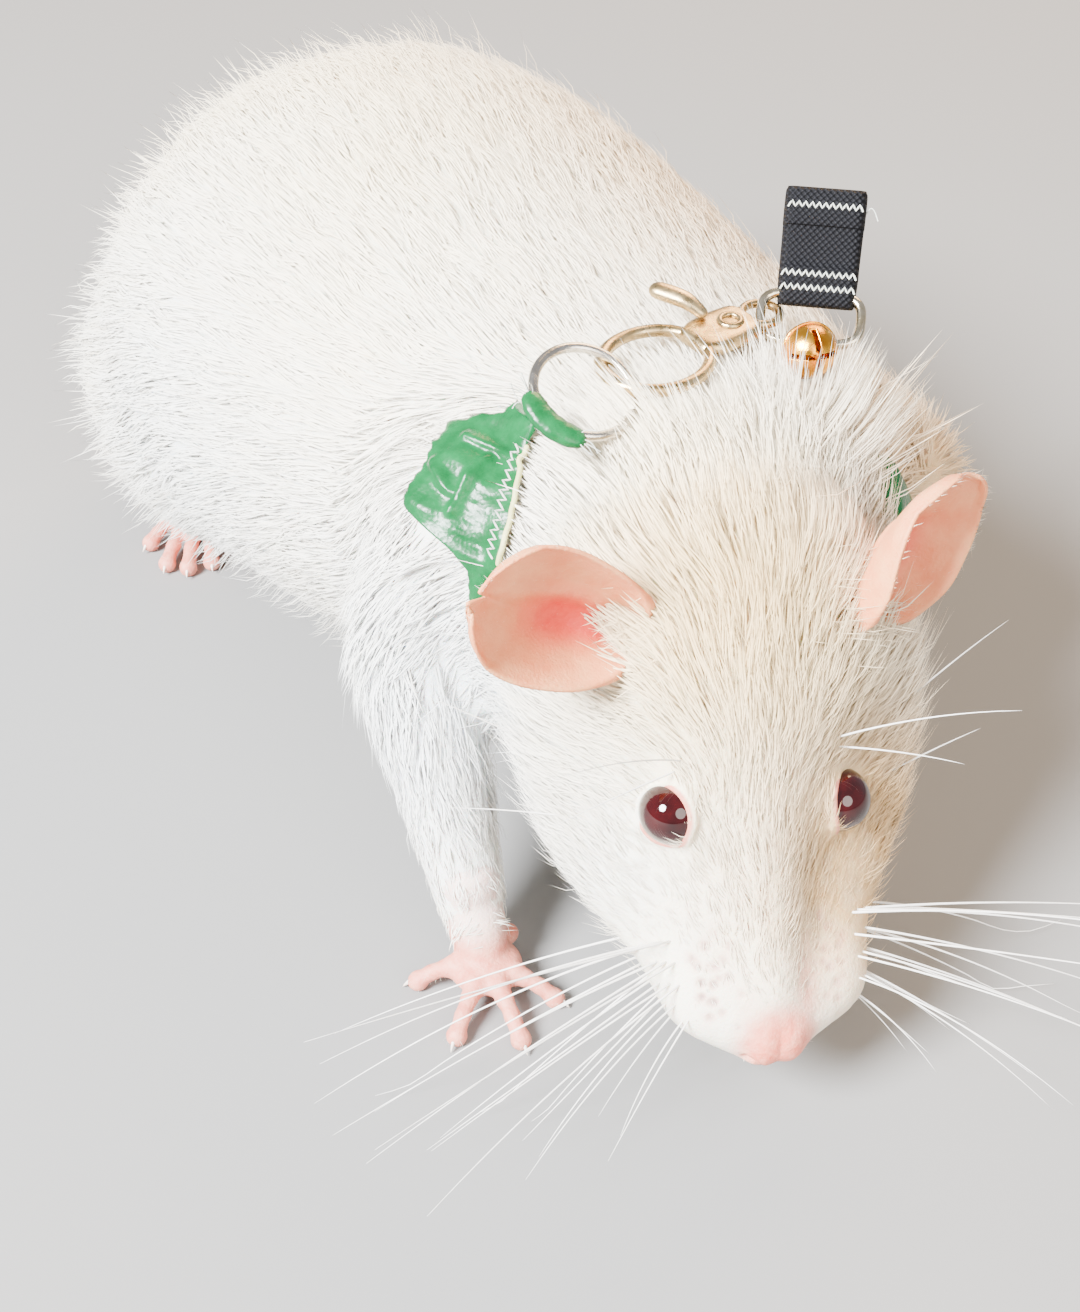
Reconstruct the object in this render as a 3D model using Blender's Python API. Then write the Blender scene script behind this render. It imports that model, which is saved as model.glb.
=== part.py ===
"""A pet rat in a harness, crouched on the floor with its right forepaw put forward and its
head lowered and turned to its right.

The flesh is modelled whole: lofted cross-sections for the trunk, head and limbs are fused
into one skin, and rounded cutters then part it into head, neck, chest and so on. Ears, eyes,
paws, tail and harness are made on their own and set against it.

The rat faces -Y, its left side is +X and the floor is Z = 0. Sizes are millimetres up to
finish(), which writes metres and puts the origin under the middle of the whole.
"""

import math

import bmesh
import bpy
import numpy as np
from mathutils import Matrix, Vector
from mathutils.bvhtree import BVHTree

# Cuts and fineness
GAP = 0.3  # between two pieces that touch
VOXEL = 1.0  # of the fused skin before it is thinned out
FLESH_FACES = 2200  # of the thinned skin
RING_POINTS = 28
FLAT_ANGLE = math.radians(0.8)  # faces that differ by less become one

# The head's own frame starts midway between the eyes: x to its left, y to its nape, z to its crown
HEAD_AT = Vector((-10.0, -50.0, 36.0))
HEAD_TURN = math.radians(-21.5)  # to its right
HEAD_PITCH = math.radians(49)  # nose down
HEAD_ROLL = math.radians(-2.0)  # left cheek down

EYE_AT = Vector((8.6, 0.6, -2.2))
LEFT_EYE_AT = Vector((9.3, -0.8, -3.2))  # the left eye sits a little further forward and down
EYE_RADIUS = 3.4
EYE_AXIS = Vector((0.74, -0.16, 0.65)).normalized()
LID_RADIUS = 3.15  # of the rim that shows the eye
LID_THICKNESS = 0.55

# Each ear grows from its root along its length, with its cup open towards its face
EAR_ROOT = Vector((14.0, 20.4, 2.0))
EAR_LENGTHS = {"ear_right": 18.8, "ear_left": 15.6}
EAR_HALF_WIDTH = 8.1
EAR_THICKNESS = 1.1
EARS = {
    "ear_right": ((-0.76, 0.17, 0.62), (0.3, -0.55, 0.78)),
    "ear_left": ((0.46, 0.59, 0.66), (0.5, -0.6, 0.62)),
}

# The tail leaves the rump and lies on the floor behind, bent to the left
TAIL_ROOT_RADIUS = 5.0
TAIL_TIP_RADIUS = 1.4
TAIL_LENGTHS = 5
TAIL_PATH = (
    (13.0, 94.0, 17.0), (14.0, 104.0, 12.0), (17.0, 115.0, 6.0), (23.0, 128.0, 4.0), (36.0, 147.0, 3.6),
    (56.0, 164.0, 3.0), (80.0, 174.0, 2.6), (104.0, 172.0, 2.0), (122.0, 160.0, 1.4),
)

# Cross-sections of the trunk from rump to nape: x of the middle, y, top, widest level, bottom, half width
TRUNK = (
    (13.0, 104.0, 29.0, 21.0, 11.0, 7.0),
    (13.0, 99.0, 43.0, 26.0, 6.0, 21.0),
    (12.0, 87.0, 60.0, 29.0, 2.5, 33.0),
    (11.0, 70.0, 72.0, 32.0, 2.0, 40.0),
    (11.0, 50.0, 75.0, 33.0, 2.0, 41.0),
    (11.5, 32.0, 73.0, 34.0, 4.0, 39.5),
    (12.0, 14.0, 69.0, 35.0, 7.0, 37.0),
    (11.0, -4.0, 66.0, 36.0, 10.0, 34.0),
    (9.0, -18.0, 64.0, 38.0, 13.0, 31.0),
    (4.0, -30.0, 61.0, 40.0, 18.0, 25.0),
    (-1.0, -40.0, 57.0, 42.0, 24.0, 17.0),
)

# Cross-sections of the head in its own frame: y, top, widest level, bottom, half width, roof, floor.
# Roof and floor shape the outline: under 2 it is pinched, over 2 it is full.
HEAD = (
    (-27.0, -6.4, -8.0, -10.0, 1.8, 2.0, 2.0),
    (-25.8, -5.0, -8.4, -12.0, 3.6, 2.0, 2.0),
    (-23.0, -3.9, -9.0, -13.8, 7.0, 1.8, 2.2),
    (-19.0, -2.8, -9.6, -15.0, 10.4, 1.6, 2.4),
    (-14.0, -1.4, -10.0, -16.0, 13.6, 1.5, 2.4),
    (-8.0, 0.8, -10.4, -17.2, 16.8, 1.5, 2.3),
    (0.0, 3.4, -10.6, -18.8, 19.8, 1.5, 2.2),
    (8.0, 6.2, -10.0, -20.0, 21.2, 1.6, 2.1),
    (16.0, 8.2, -8.4, -20.0, 20.8, 1.8, 2.0),
    (24.0, 8.8, -6.0, -18.0, 18.2, 2.0, 2.0),
    (31.0, 7.0, -5.0, -15.0, 13.0, 2.0, 2.0),
)

# Each limb is a run of balls: x, y, z, radius. The left limbs are hidden in the front view.
RIGHT_ARM = (
    (-13.0, -4.0, 45.0, 13.0), (-22.5, -5.0, 33.0, 9.0), (-25.5, -13.5, 21.0, 6.2),
    (-27.0, -21.5, 8.0, 4.4),
)
LEFT_ARM = (
    (30.0, -18.0, 41.0, 13.5), (33.0, -11.0, 30.0, 9.0), (27.0, -15.0, 19.0, 6.2), (21.5, -19.5, 8.0, 4.4),
)
THIGHS = {
    "right": ((-9.0, 66.0, 28.0), (22.0, 30.0, 25.0)),
    "left": ((31.0, 66.0, 28.0), (22.0, 30.0, 25.0)),
}
ELBOW_CUT = 25.0  # height of the cut between upper arm and forearm

# Each paw: its wrist or heel, the middle of its pad, and its digits as tip offsets from the pad
FOREPAWS = {
    "right": (
        (-27.0, -21.5, 8.5), (-28.3, -26.5, 2.6), ((-8.0, 4.4), (-8.8, -6.6), (-2.2, -11.8), (5.4, -8.4)),
    ),
    "left": (
        (21.5, -19.5, 8.5), (21.0, -25.0, 2.6), ((8.4, -2.2), (5.8, -9.6), (-1.4, -11.6), (-7.6, -6.8)),
    ),
}
THUMBS = {"right": (5.6, 3.0), "left": (-5.6, 3.0)}
HIND_FEET = {"right": (Vector((-1.8, 95.4, 0.0)), -34.0, -1), "left": (Vector((22.0, 99.0, 0.0)), 22.0, 1)}
CLAW_LENGTH = 2.0

# Whiskers in the head's frame: rows on each pad, back to front, and how far they reach
NOSTRIL = (((1.7, -28.5, -7.2), 1.0), ((1.5, -24.6, -7.6), 0.7))  # places in the head's frame, radii
WHISKER_ROWS = 3
WHISKERS_A_ROW = 3
WHISKER_RADIUS = 0.36
WHISKER_LENGTHS = (46.0, 38.0, 26.0)

# Straps as turns round the trunk: degrees from the top towards the right, and the place along Y
STRAP_SINK = 0.6  # how deep the straps press into the trunk
STRAP_LIFT = 0.4  # the shoulder panel's underside over the skin
STRAP_THICKNESS = 1.0
CHANNEL_DEPTH = 8.0  # flesh taken away over a strap
STRAP_WIDTH = 7.0
STRAP_AXIS = (9.05, 38.3)
NECK_STRAP = (
    (64, -13.6), (90, -18.0), (130, -22.0), (180, -26.0), (230, -30.0), (280, -34.0), (300, -35.0),
    (318, -33.5), (331, -28.0), (346, -18.0), (360, -12.0), (374, -10.5),
)
GIRTH_STRAP = (
    (64, -5.4), (90, 1.0), (130, 8.0), (180, 11.0), (230, 8.0), (270, 2.0), (300, -2.0), (330, -3.0),
    (349, -3.0),
)
YOKE = ((39, -10.6, -6.2), (46, -11.6, -3.2), (53, -13.8, -1.9), (62, -17.0, -2.4))

# The ring and the clip lie on the withers, in a frame whose x runs from the ring to the clip's swivel
CLIP_AT = Vector((-8.0, -15.6, 66.2))
CLIP_ALONG = Vector((0.997, 0.05, 0.05))
CLIP_FACE = Vector((-0.1, -0.22, 0.97))
RING_RADIUS = 5.4
RING_WIRE = 0.55
RING_TILT = math.radians(17)
CLIP_TILT = math.radians(-8)
BOW_AT = 9.5  # along the clip's frame
BOW_RADIUS = 6.0
BOW_STRETCH = 0.88  # across over along
BOW_WIRE = 0.7
RIVET_AT = 19.8
SWIVEL_AT = 24.2
LINK_HALF_LENGTH = 5.4
LINK_HALF_WIDTH = 3.0
BELL_AT = Vector((16.4, -22.3, 66.5))
BELL_RADIUS = 2.95
WEBBING_RISE = Vector((0.45, 0.35, 0.85))
WEBBING = (
    (-1.5, 4.0, 0.7), (-0.9, 4.2, 1.35), (1.4, 4.3, 1.5), (4.6, 4.4, 1.2), (10.6, 4.4, 1.3), (11.2, 4.2, 0.8),
)
LOOP_AT = math.radians(196)  # where the panel's rolled end holds the ring
LOOP_ROLL = ((-1.2, 2.6, 1.15), (0.0, 2.7, 1.45), (1.35, 2.5, 0.9))  # past the ring, half sizes
PLATE = ((-5.4, 2.4), (-3.0, 3.2), (1.4, 3.1), (2.8, 2.0))  # from the rivet: along the clip, half width
PLATE_HALF_THICKNESS = 0.85
RIVET_RADIUS = 1.5
RIVET_BORE = 0.75
LEVER = ((-2.2, 2.6, 2.2, 1.0), (-3.2, 4.8, 2.5, 1.1), (-4.2, 7.0, 2.6, 1.2))  # from the rivet, and radius


def catmull(rows, per_span):
    """Return rows on a smooth curve through the given rows, per_span of them to each span."""
    rows = np.array(rows, dtype=float)
    padded = np.vstack((2 * rows[0] - rows[1], rows, 2 * rows[-1] - rows[-2]))
    out = []
    for i in range(1, len(padded) - 2):
        before, start, end, after = padded[i - 1:i + 3]
        for t in np.arange(per_span) / per_span:
            bend = 2 * before - 5 * start + 4 * end - after
            twist = 3 * start - before - 3 * end + after
            out.append(0.5 * (2 * start + (end - before) * t + bend * t**2 + twist * t**3))
    out.append(rows[-1])
    return np.array(out)


def head_matrix():
    turn = Matrix.Rotation(HEAD_TURN, 4, "Z")
    pitch = Matrix.Rotation(HEAD_PITCH, 4, "X")
    roll = Matrix.Rotation(-HEAD_ROLL, 4, "Y")
    return Matrix.Translation(HEAD_AT) @ turn @ pitch @ roll


HEAD_FRAME = head_matrix()


def outline(middle_x, top, level, bottom, half, roof=2.1, floor=2.1):
    """Return a closed outline as x, z pairs: half as wide as stated at its widest level."""
    points = []
    for k in range(RING_POINTS):
        angle = 2 * math.pi * k / RING_POINTS
        c, s = math.cos(angle), math.sin(angle)
        power = 2 / (roof if s > 0 else floor)
        height = (top - level) if s > 0 else (level - bottom)
        x = middle_x + half * math.copysign(abs(c) ** power, c)
        points.append((x, level + height * math.copysign(abs(s) ** power, s)))
    return points


def new_object(name, bm):
    """Turn a bmesh into an object with its faces pointing out."""
    bmesh.ops.recalc_face_normals(bm, faces=bm.faces)
    mesh = bpy.data.meshes.new(name)
    bm.to_mesh(mesh)
    bm.free()
    made = bpy.data.objects.new(name, mesh)
    bpy.context.scene.collection.objects.link(made)
    return made


def loft(name, rings):
    """Join rings of points in order into one closed body with flat ends."""
    bm = bmesh.new()
    loops = [[bm.verts.new(p) for p in ring] for ring in rings]
    count = len(loops[0])
    for low, high in zip(loops, loops[1:]):
        for k in range(count):
            after = (k + 1) % count
            bm.faces.new((low[k], low[after], high[after], high[k]))
    bm.faces.new(loops[0])
    bm.faces.new(loops[-1])
    return new_object(name, bm)


def tube(name, rows, sides=12, per_span=4, round_ends=True, up=Vector((0, 0, 1))):
    """Loft a tube along x, y, z, radius rows, with rounded or flat ends."""
    path = catmull(rows, per_span) if per_span > 1 else np.array(rows, dtype=float)
    rings = []
    last = len(path) - 1
    for i, row in enumerate(path):
        centre = Vector(row[:3])
        ahead = Vector(path[min(i + 1, last)][:3]) - Vector(path[max(i - 1, 0)][:3])
        ahead.normalize()
        side = ahead.cross(up).normalized()
        top = side.cross(ahead)
        caps = ((0.0, 1.0),)
        if round_ends and i == 0:
            caps = ((-0.97, 0.24), (-0.7, 0.71), (0.0, 1.0))
        if round_ends and i == last:
            caps = ((0.0, 1.0), (0.7, 0.71), (0.97, 0.24))
        for along, wide in caps:
            middle = centre + ahead * along * row[3]
            turn = [2 * math.pi * (k + 0.5) / sides for k in range(sides)]
            rings.append([middle + (side * math.cos(a) + top * math.sin(a)) * wide * row[3] for a in turn])
    return loft(name, rings)


def ball(name, centre, radii, matrix=None, segments=24):
    bm = bmesh.new()
    bmesh.ops.create_uvsphere(bm, u_segments=segments, v_segments=segments // 2, radius=1.0)
    place = Matrix.Translation(Vector(centre)) @ Matrix.Diagonal((*radii, 1.0))
    bmesh.ops.transform(bm, matrix=place, verts=bm.verts)
    if matrix is not None:
        bmesh.ops.transform(bm, matrix=matrix, verts=bm.verts)
    return new_object(name, bm)


def block(name, low, high, matrix=None):
    bm = bmesh.new()
    size = Vector(high) - Vector(low)
    bmesh.ops.create_cube(bm, size=1.0)
    place = Matrix.Translation((Vector(low) + Vector(high)) / 2) @ Matrix.Diagonal((*size, 1.0))
    bmesh.ops.transform(bm, matrix=place, verts=bm.verts)
    if matrix is not None:
        bmesh.ops.transform(bm, matrix=matrix, verts=bm.verts)
    return new_object(name, bm)


def remove(made):
    mesh = made.data
    bpy.data.objects.remove(made)
    bpy.data.meshes.remove(mesh)


def duplicate(made, name):
    twin = bpy.data.objects.new(name, made.data.copy())
    bpy.context.scene.collection.objects.link(twin)
    return twin


def bake(made):
    """Replace an object's mesh by what its modifiers make of it."""
    graph = bpy.context.evaluated_depsgraph_get()
    mesh = bpy.data.meshes.new_from_object(made.evaluated_get(graph))
    old = made.data
    made.modifiers.clear()
    made.data = mesh
    bpy.data.meshes.remove(old)


def hull_of(made, name):
    """Return the tight skin round a body."""
    bm = bmesh.new()
    bm.from_mesh(made.data)
    result = bmesh.ops.convex_hull(bm, input=bm.verts)
    unused = result["geom_interior"] + result["geom_unused"]
    loose = [item for item in unused if isinstance(item, bmesh.types.BMVert)]
    bmesh.ops.delete(bm, geom=loose, context="VERTS")
    loose = [face for face in bm.faces if face not in set(result["geom"])]
    bmesh.ops.delete(bm, geom=loose, context="FACES_ONLY")
    bmesh.ops.dissolve_limit(bm, angle_limit=math.radians(8), verts=bm.verts, edges=bm.edges)
    bmesh.ops.triangulate(bm, faces=bm.faces)
    return new_object(name, bm)


def largest_piece(made):
    """Keep only the closed surface with the biggest box."""
    bm = bmesh.new()
    bm.from_mesh(made.data)
    left = set(bm.faces)
    pieces = []
    while left:
        found = set()
        edge = [left.pop()]
        while edge:
            face = edge.pop()
            found.add(face)
            near = {other for side in face.edges for other in side.link_faces}
            fresh = near & left
            left -= fresh
            edge.extend(fresh)
        pieces.append(found)
    if len(pieces) > 1:
        def reach(piece):
            points = np.array([v.co for face in piece for v in face.verts])
            return float(np.linalg.norm(np.ptp(points, axis=0)))
        kept = max(pieces, key=reach)
        bmesh.ops.delete(bm, geom=[face for face in bm.faces if face not in kept], context="FACES")
        bm.to_mesh(made.data)
    bm.free()


def merge_flat(made):
    """Join neighbouring triangles that are nearly in one plane, and split the faces anew."""
    before = volume_of(made)
    kept = made.data.copy()
    bm = bmesh.new()
    bm.from_mesh(made.data)
    bmesh.ops.dissolve_degenerate(bm, dist=0.01, edges=bm.edges)
    bmesh.ops.dissolve_limit(bm, angle_limit=FLAT_ANGLE, verts=bm.verts, edges=bm.edges)
    bmesh.ops.triangulate(bm, faces=bm.faces)
    bm.to_mesh(made.data)
    bm.free()
    if abs(volume_of(made) - before) > 0.01 * before:
        made.data = kept


def volume_of(made):
    """Return a body's volume, or zero where its surface isn't closed."""
    bm = bmesh.new()
    bm.from_mesh(made.data)
    closed = all(len(edge.link_faces) == 2 for edge in bm.edges)
    volume = bm.calc_volume(signed=True) if closed else 0.0
    bm.free()
    return volume


def boolean(target, operation, cutter):
    """Cut a body with another, which is used up; the manifold solver steps in where the exact one fails."""
    before = duplicate(target, "before")
    whole, tool = volume_of(target), volume_of(cutter)
    least = max(whole - tool, whole * 0.02) if operation == "DIFFERENCE" else min(whole, tool) * 0.01
    for solver in ("EXACT", "MANIFOLD"):
        cut = target.modifiers.new(operation.title(), "BOOLEAN")
        cut.operation = operation
        cut.solver = solver
        cut.object = cutter
        bake(target)
        largest_piece(target)
        if least * 0.9 < volume_of(target) < whole * 1.001:
            break
        if solver == "EXACT":
            target.data = before.data.copy()
    remove(before)
    remove(cutter)


def union(name, pieces):
    """Fuse closed pieces into one body."""
    group = bpy.data.collections.new(name + "_pieces")
    bpy.context.scene.collection.children.link(group)
    target = pieces[0]
    for piece in pieces[1:]:
        group.objects.link(piece)
    fuse = target.modifiers.new("Union", "BOOLEAN")
    fuse.operation = "UNION"
    fuse.operand_type = "COLLECTION"
    fuse.collection = group
    fuse.solver = "EXACT"
    bake(target)
    for piece in pieces[1:]:
        remove(piece)
    bpy.data.collections.remove(group)
    target.name = name
    largest_piece(target)
    return target


def grown(made, distance):
    """Return a copy of a body that is larger by a distance all round."""
    twin = duplicate(made, made.name + "_grown")
    bm = bmesh.new()
    bm.from_mesh(twin.data)
    bm.normal_update()
    moves = [(v, v.normal * v.calc_shell_factor() * distance) for v in bm.verts]
    for vert, move in moves:
        vert.co += move
    bm.to_mesh(twin.data)
    bm.free()
    return twin


def clear_of(target, other, gap=GAP):
    """Cut a body clear of another by a gap."""
    boolean(target, "DIFFERENCE", grown(other, gap))


def take(flesh, name, volume):
    """Part off what lies in a volume, leaving a gap, and return it."""
    taken = duplicate(flesh, name)
    boolean(flesh, "DIFFERENCE", grown(volume, GAP))
    boolean(taken, "INTERSECT", volume)
    return taken


def flatten_base(made):
    """Press whatever lies under the floor up to it."""
    for vert in made.data.vertices:
        vert.co.z = max(vert.co.z, 0.0)


def head_loft(name, rows, extra=0.0):
    """Loft head cross-sections, wider all round by a distance."""
    rings = []
    for y, top, level, bottom, half, roof, floor in rows:
        flat = outline(0.0, top + extra, level, bottom - extra, half + extra, roof, floor)
        rings.append([HEAD_FRAME @ Vector((x, y, z)) for x, z in flat])
    return loft(name, rings)


def make_flesh():
    """Fuse trunk, head and limbs and thin the skin out."""
    rings = []
    for middle, y, top, level, bottom, half in catmull(TRUNK, 5):
        rings.append([(x, y, z) for x, z in outline(middle, top, level, bottom, half)])
    parts = [loft("trunk", rings), head_loft("head_core", catmull(HEAD, 4))]
    parts.append(tube("right_arm", RIGHT_ARM, sides=20))
    parts.append(tube("left_arm", LEFT_ARM, sides=20))
    for centre, radii in THIGHS.values():
        parts.append(ball("thigh", centre, radii))
    bm = bmesh.new()
    for part in parts:
        bm.from_mesh(part.data)
        remove(part)
    flesh = new_object("flesh", bm)
    fuse = flesh.modifiers.new("Remesh", "REMESH")
    fuse.mode = "VOXEL"
    fuse.voxel_size = VOXEL
    soften = flesh.modifiers.new("Smooth", "SMOOTH")
    soften.factor = 0.5
    soften.iterations = 5
    bake(flesh)
    split = flesh.modifiers.new("Triangulate", "TRIANGULATE")
    split.quad_method = "BEAUTY"
    bake(flesh)
    thin = flesh.modifiers.new("Decimate", "DECIMATE")
    thin.ratio = FLESH_FACES / len(flesh.data.polygons)
    bake(flesh)
    return flesh


def simple_shape(made, faces):
    """Wrap a body that runs through itself in one plain skin of few faces."""
    fuse = made.modifiers.new("Remesh", "REMESH")
    fuse.mode = "VOXEL"
    fuse.voxel_size = VOXEL * 1.5
    bake(made)
    split = made.modifiers.new("Triangulate", "TRIANGULATE")
    split.quad_method = "BEAUTY"
    bake(made)
    thin = made.modifiers.new("Decimate", "DECIMATE")
    thin.ratio = faces / len(made.data.polygons)
    bake(made)
    return made


def smooth(made):
    made.data.shade_smooth()
    made.data.set_sharp_from_angle(angle=math.radians(50))


def head_point(point, side=1):
    return HEAD_FRAME @ Vector((point[0] * side, point[1], point[2]))


def split_flesh(flesh):
    """Part the skin into head, muzzle, limbs and lengths of the trunk."""
    nodes = {}
    head_rows = [row for row in HEAD if row[0] < 20.0]
    front = (HEAD[0][0] - 3.0, *HEAD[0][1:])
    back = (21.0, *catmull(HEAD, 4)[-6][1:])
    head_volume = head_loft("head_volume", [front, *head_rows, back], extra=2.6)
    nodes["head"] = take(flesh, "head", head_volume)
    for side, arm in (("right", RIGHT_ARM), ("left", LEFT_ARM)):
        wider = [(x, y, z, r + 1.6) for x, y, z, r in arm]
        volume = simple_shape(tube("arm_volume", wider, sides=16, per_span=3), 150)
        limb = take(flesh, "arm", volume)
        above = block("above", (-90, -90, ELBOW_CUT), (90, 90, 90))
        nodes["upper_arm_" + side] = take(limb, "upper_arm_" + side, above)
        nodes["forearm_" + side] = limb
    for side, (centre, radii) in THIGHS.items():
        outward = -1 if side == "right" else 1
        place = (centre[0] + outward * 4.0, centre[1], centre[2] - 2.0)
        volume = ball("thigh_volume", place, [r * 0.94 for r in radii], segments=14)
        nodes["thigh_" + side] = take(flesh, "thigh_" + side, volume)
    lean = Matrix.Rotation(math.radians(-14), 4, "X")
    neck_plane = Matrix.Translation((0, -12.0, 38.0)) @ Matrix.Rotation(math.radians(-20), 4, "Z") @ lean
    nodes["neck"] = take(flesh, "neck", block("before", (-90, -90, -90), (90, 0, 90), neck_plane))
    nodes["chest"] = take(flesh, "chest", block("before", (-90, -90, -90), (90, 22, 90)))
    nodes["belly"] = take(flesh, "belly", block("before", (-90, -90, -90), (90, 60, 90)))
    nodes["rump"] = flesh
    for name, node in nodes.items():
        node.name = name
    return nodes


def make_eyes(nodes):
    """Rim each eye with lids and set the eyeball in its socket."""
    for side, name, at in ((-1, "eye_right", EYE_AT), (1, "eye_left", LEFT_EYE_AT)):
        centre = head_point(at, side)
        axis = (head_point(at + EYE_AXIS, side) - centre).normalized()
        turn = axis.to_track_quat("Z", "Y").to_matrix().to_4x4()
        depth = math.sqrt(EYE_RADIUS**2 - LID_RADIUS**2)
        rim = Matrix.Translation(centre + axis * depth) @ turn
        lid = ring_of_wire("lid", LID_RADIUS + LID_THICKNESS, LID_THICKNESS + 0.5, rim, 18, 6)
        nodes["head"] = union("head", [nodes["head"], lid])
        socket = ball("socket", (0, 0, 0), [EYE_RADIUS + GAP] * 3, Matrix.Translation(centre) @ turn, 16)
        boolean(nodes["head"], "DIFFERENCE", socket)
        nodes[name] = ball(name, (0, 0, 0), [EYE_RADIUS] * 3, Matrix.Translation(centre) @ turn, 16)


def ring_of_wire(name, radius, wire, matrix, around=24, sides=8, stretch=1.0):
    rings = []
    for i in range(around):
        a = 2 * math.pi * i / around
        out = Vector((math.cos(a), math.sin(a) * stretch, 0.0))
        ring = []
        for k in range(sides):
            b = 2 * math.pi * (k + 0.5) / sides
            ring.append(matrix @ (out * (radius + wire * math.cos(b)) + Vector((0, 0, wire * math.sin(b)))))
        rings.append(ring)
    bm = bmesh.new()
    loops = [[bm.verts.new(p) for p in ring] for ring in rings]
    for i in range(around):
        low, high = loops[i], loops[(i + 1) % around]
        for k in range(sides):
            bm.faces.new((low[k], low[(k + 1) % sides], high[(k + 1) % sides], high[k]))
    return new_object(name, bm)


def make_ear(name, side):
    """A thin petal cupped towards its face, rolled in at the root."""
    along, face = (Vector(v).normalized() for v in EARS[name])
    face = (face - along * face.dot(along)).normalized()
    across = along.cross(face)
    root = Vector((EAR_ROOT.x * side, EAR_ROOT.y, EAR_ROOT.z)) - along * 3.0
    length_steps, width_steps = 8, 8
    front, back = [], []
    for i in range(length_steps + 1):
        u = i / length_steps
        reach = 0.62 if u < 0.58 else 0.435
        half = EAR_HALF_WIDTH * math.sqrt(max(1 - ((u - 0.58) / reach) ** 2, 0.03))
        cup = 0.95 - 0.72 * min(u / 0.8, 1.0)
        row_front, row_back = [], []
        for j in range(width_steps + 1):
            v = 2 * j / width_steps - 1
            lift = cup * half * v * v - 1.2 * math.sin(math.pi * u)
            inward = half * v * (1 - 0.3 * cup * v * v)
            point = root + along * (EAR_LENGTHS[name] + 3.0) * u + across * inward + face * lift
            thick = EAR_THICKNESS * (0.5 if abs(v) < 0.99 and u < 0.99 else 0.3)
            tilt = (face - across * 2 * cup * v).normalized()
            row_front.append(HEAD_FRAME @ (point + tilt * thick))
            row_back.append(HEAD_FRAME @ (point - tilt * thick))
        front.append(row_front)
        back.append(row_back)
    return slab_between(name, front, back)


def slab_between(name, front, back):
    """Close two matching grids of points into one body, split alike into triangles."""
    bm = bmesh.new()
    grids = [[[bm.verts.new(p) for p in row] for row in grid] for grid in (front, back)]
    rows, columns = len(front), len(front[0])
    for grid in grids:
        for i in range(rows - 1):
            for j in range(columns - 1):
                a, b = grid[i][j], grid[i][j + 1]
                c, d = grid[i + 1][j + 1], grid[i + 1][j]
                bm.faces.new((a, b, c))
                bm.faces.new((a, c, d))
    edge = [(0, j) for j in range(columns)] + [(i, columns - 1) for i in range(1, rows)]
    edge += [(rows - 1, j) for j in range(columns - 2, -1, -1)] + [(i, 0) for i in range(rows - 2, 0, -1)]
    for here, there in zip(edge, edge[1:] + edge[:1]):
        a, b = grids[0][here[0]][here[1]], grids[0][there[0]][there[1]]
        c, d = grids[1][there[0]][there[1]], grids[1][here[0]][here[1]]
        bm.faces.new((a, b, c, d))
    return new_object(name, bm)


def make_whisker(name, root, way, length, droop, turn):
    """A three-sided spine that thins to its tip and bends down and back."""
    side = way.cross(Vector((0, 0, 1))).normalized()
    rings = []
    for t in (0.0, 0.35, 0.7, 0.97):
        centre = root + way * length * t + Vector((0, 0, -droop * t * t)) + turn * t * t
        radius = WHISKER_RADIUS * (1.0 - 0.75 * t)
        ring = []
        for k in range(3):
            angle = 2 * math.pi * k / 3
            ring.append(centre + (side * math.cos(angle) + way.cross(side) * math.sin(angle)) * radius)
        rings.append(ring)
    return loft(name, rings)


def part_muzzle(nodes):
    """Cut the muzzle off in front of the eyes and give it nostrils, lips and whiskers."""
    cut = HEAD_FRAME @ Matrix.Translation((0, -7.5, 0))
    muzzle = take(nodes["head"], "muzzle", block("before", (-40, -40, -40), (40, 0, 40), cut))
    rng = np.random.default_rng(7)
    spines = [muzzle]
    for side in (-1, 1):
        for row in range(WHISKER_ROWS):
            for k in range(WHISKERS_A_ROW):
                y = -14.6 - 2.6 * k
                z = -6.6 - 2.3 * row
                x = (10.4 - 1.5 * k) - 1.2 * (WHISKER_ROWS - 1 - row) - 1.8
                root = head_point((x, y, z), side)
                way = Vector((1.0, -0.02 - 0.36 * k, 0.42 - 0.16 * row))
                way = (head_point(Vector((x, y, z)) + way, side) - root).normalized()
                length = WHISKER_LENGTHS[k] * rng.uniform(0.93, 1.05)
                tip = root.z + way.z * length
                droop = min(rng.uniform(2.0, 6.0), max(tip - 2.5, -40.0))
                turn = Vector((0.0, rng.uniform(-1.0, 3.0), 0.0))
                spines.append(make_whisker("whisker", root, way, length, droop, turn))
    nodes["muzzle"] = union("muzzle", spines)
    for side in (-1, 1):
        hole = [(*head_point(spot, side), radius) for spot, radius in NOSTRIL]
        boolean(nodes["muzzle"], "DIFFERENCE", tube("nostril", hole, sides=8, per_span=1, round_ends=False))
    lip = []
    for x, y, z in ((-13.0, -12.0, -14.6), (-8.6, -19.5, -13.6), (-3.5, -23.5, -12.2), (0.0, -24.6, -11.7)):
        lip.append((x, y, z))
    lip += [(-x, y, z) for x, y, z in reversed(lip[:-1])]
    outer, inner = [], []
    for x, y, z in catmull(lip, 3):
        away = Vector((x, y + 12.0, 0.0)).normalized()
        spot = Vector((x, y, z))
        outer.append([head_point(spot + away * 4.0 + Vector((0, 0, h))) for h in (-0.45, 0.45)])
        inner.append([head_point(spot - away * 0.9 + Vector((0, 0, h))) for h in (-0.3, 0.3)])
    boolean(nodes["muzzle"], "DIFFERENCE", slab_between("mouth", outer, inner))


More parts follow.
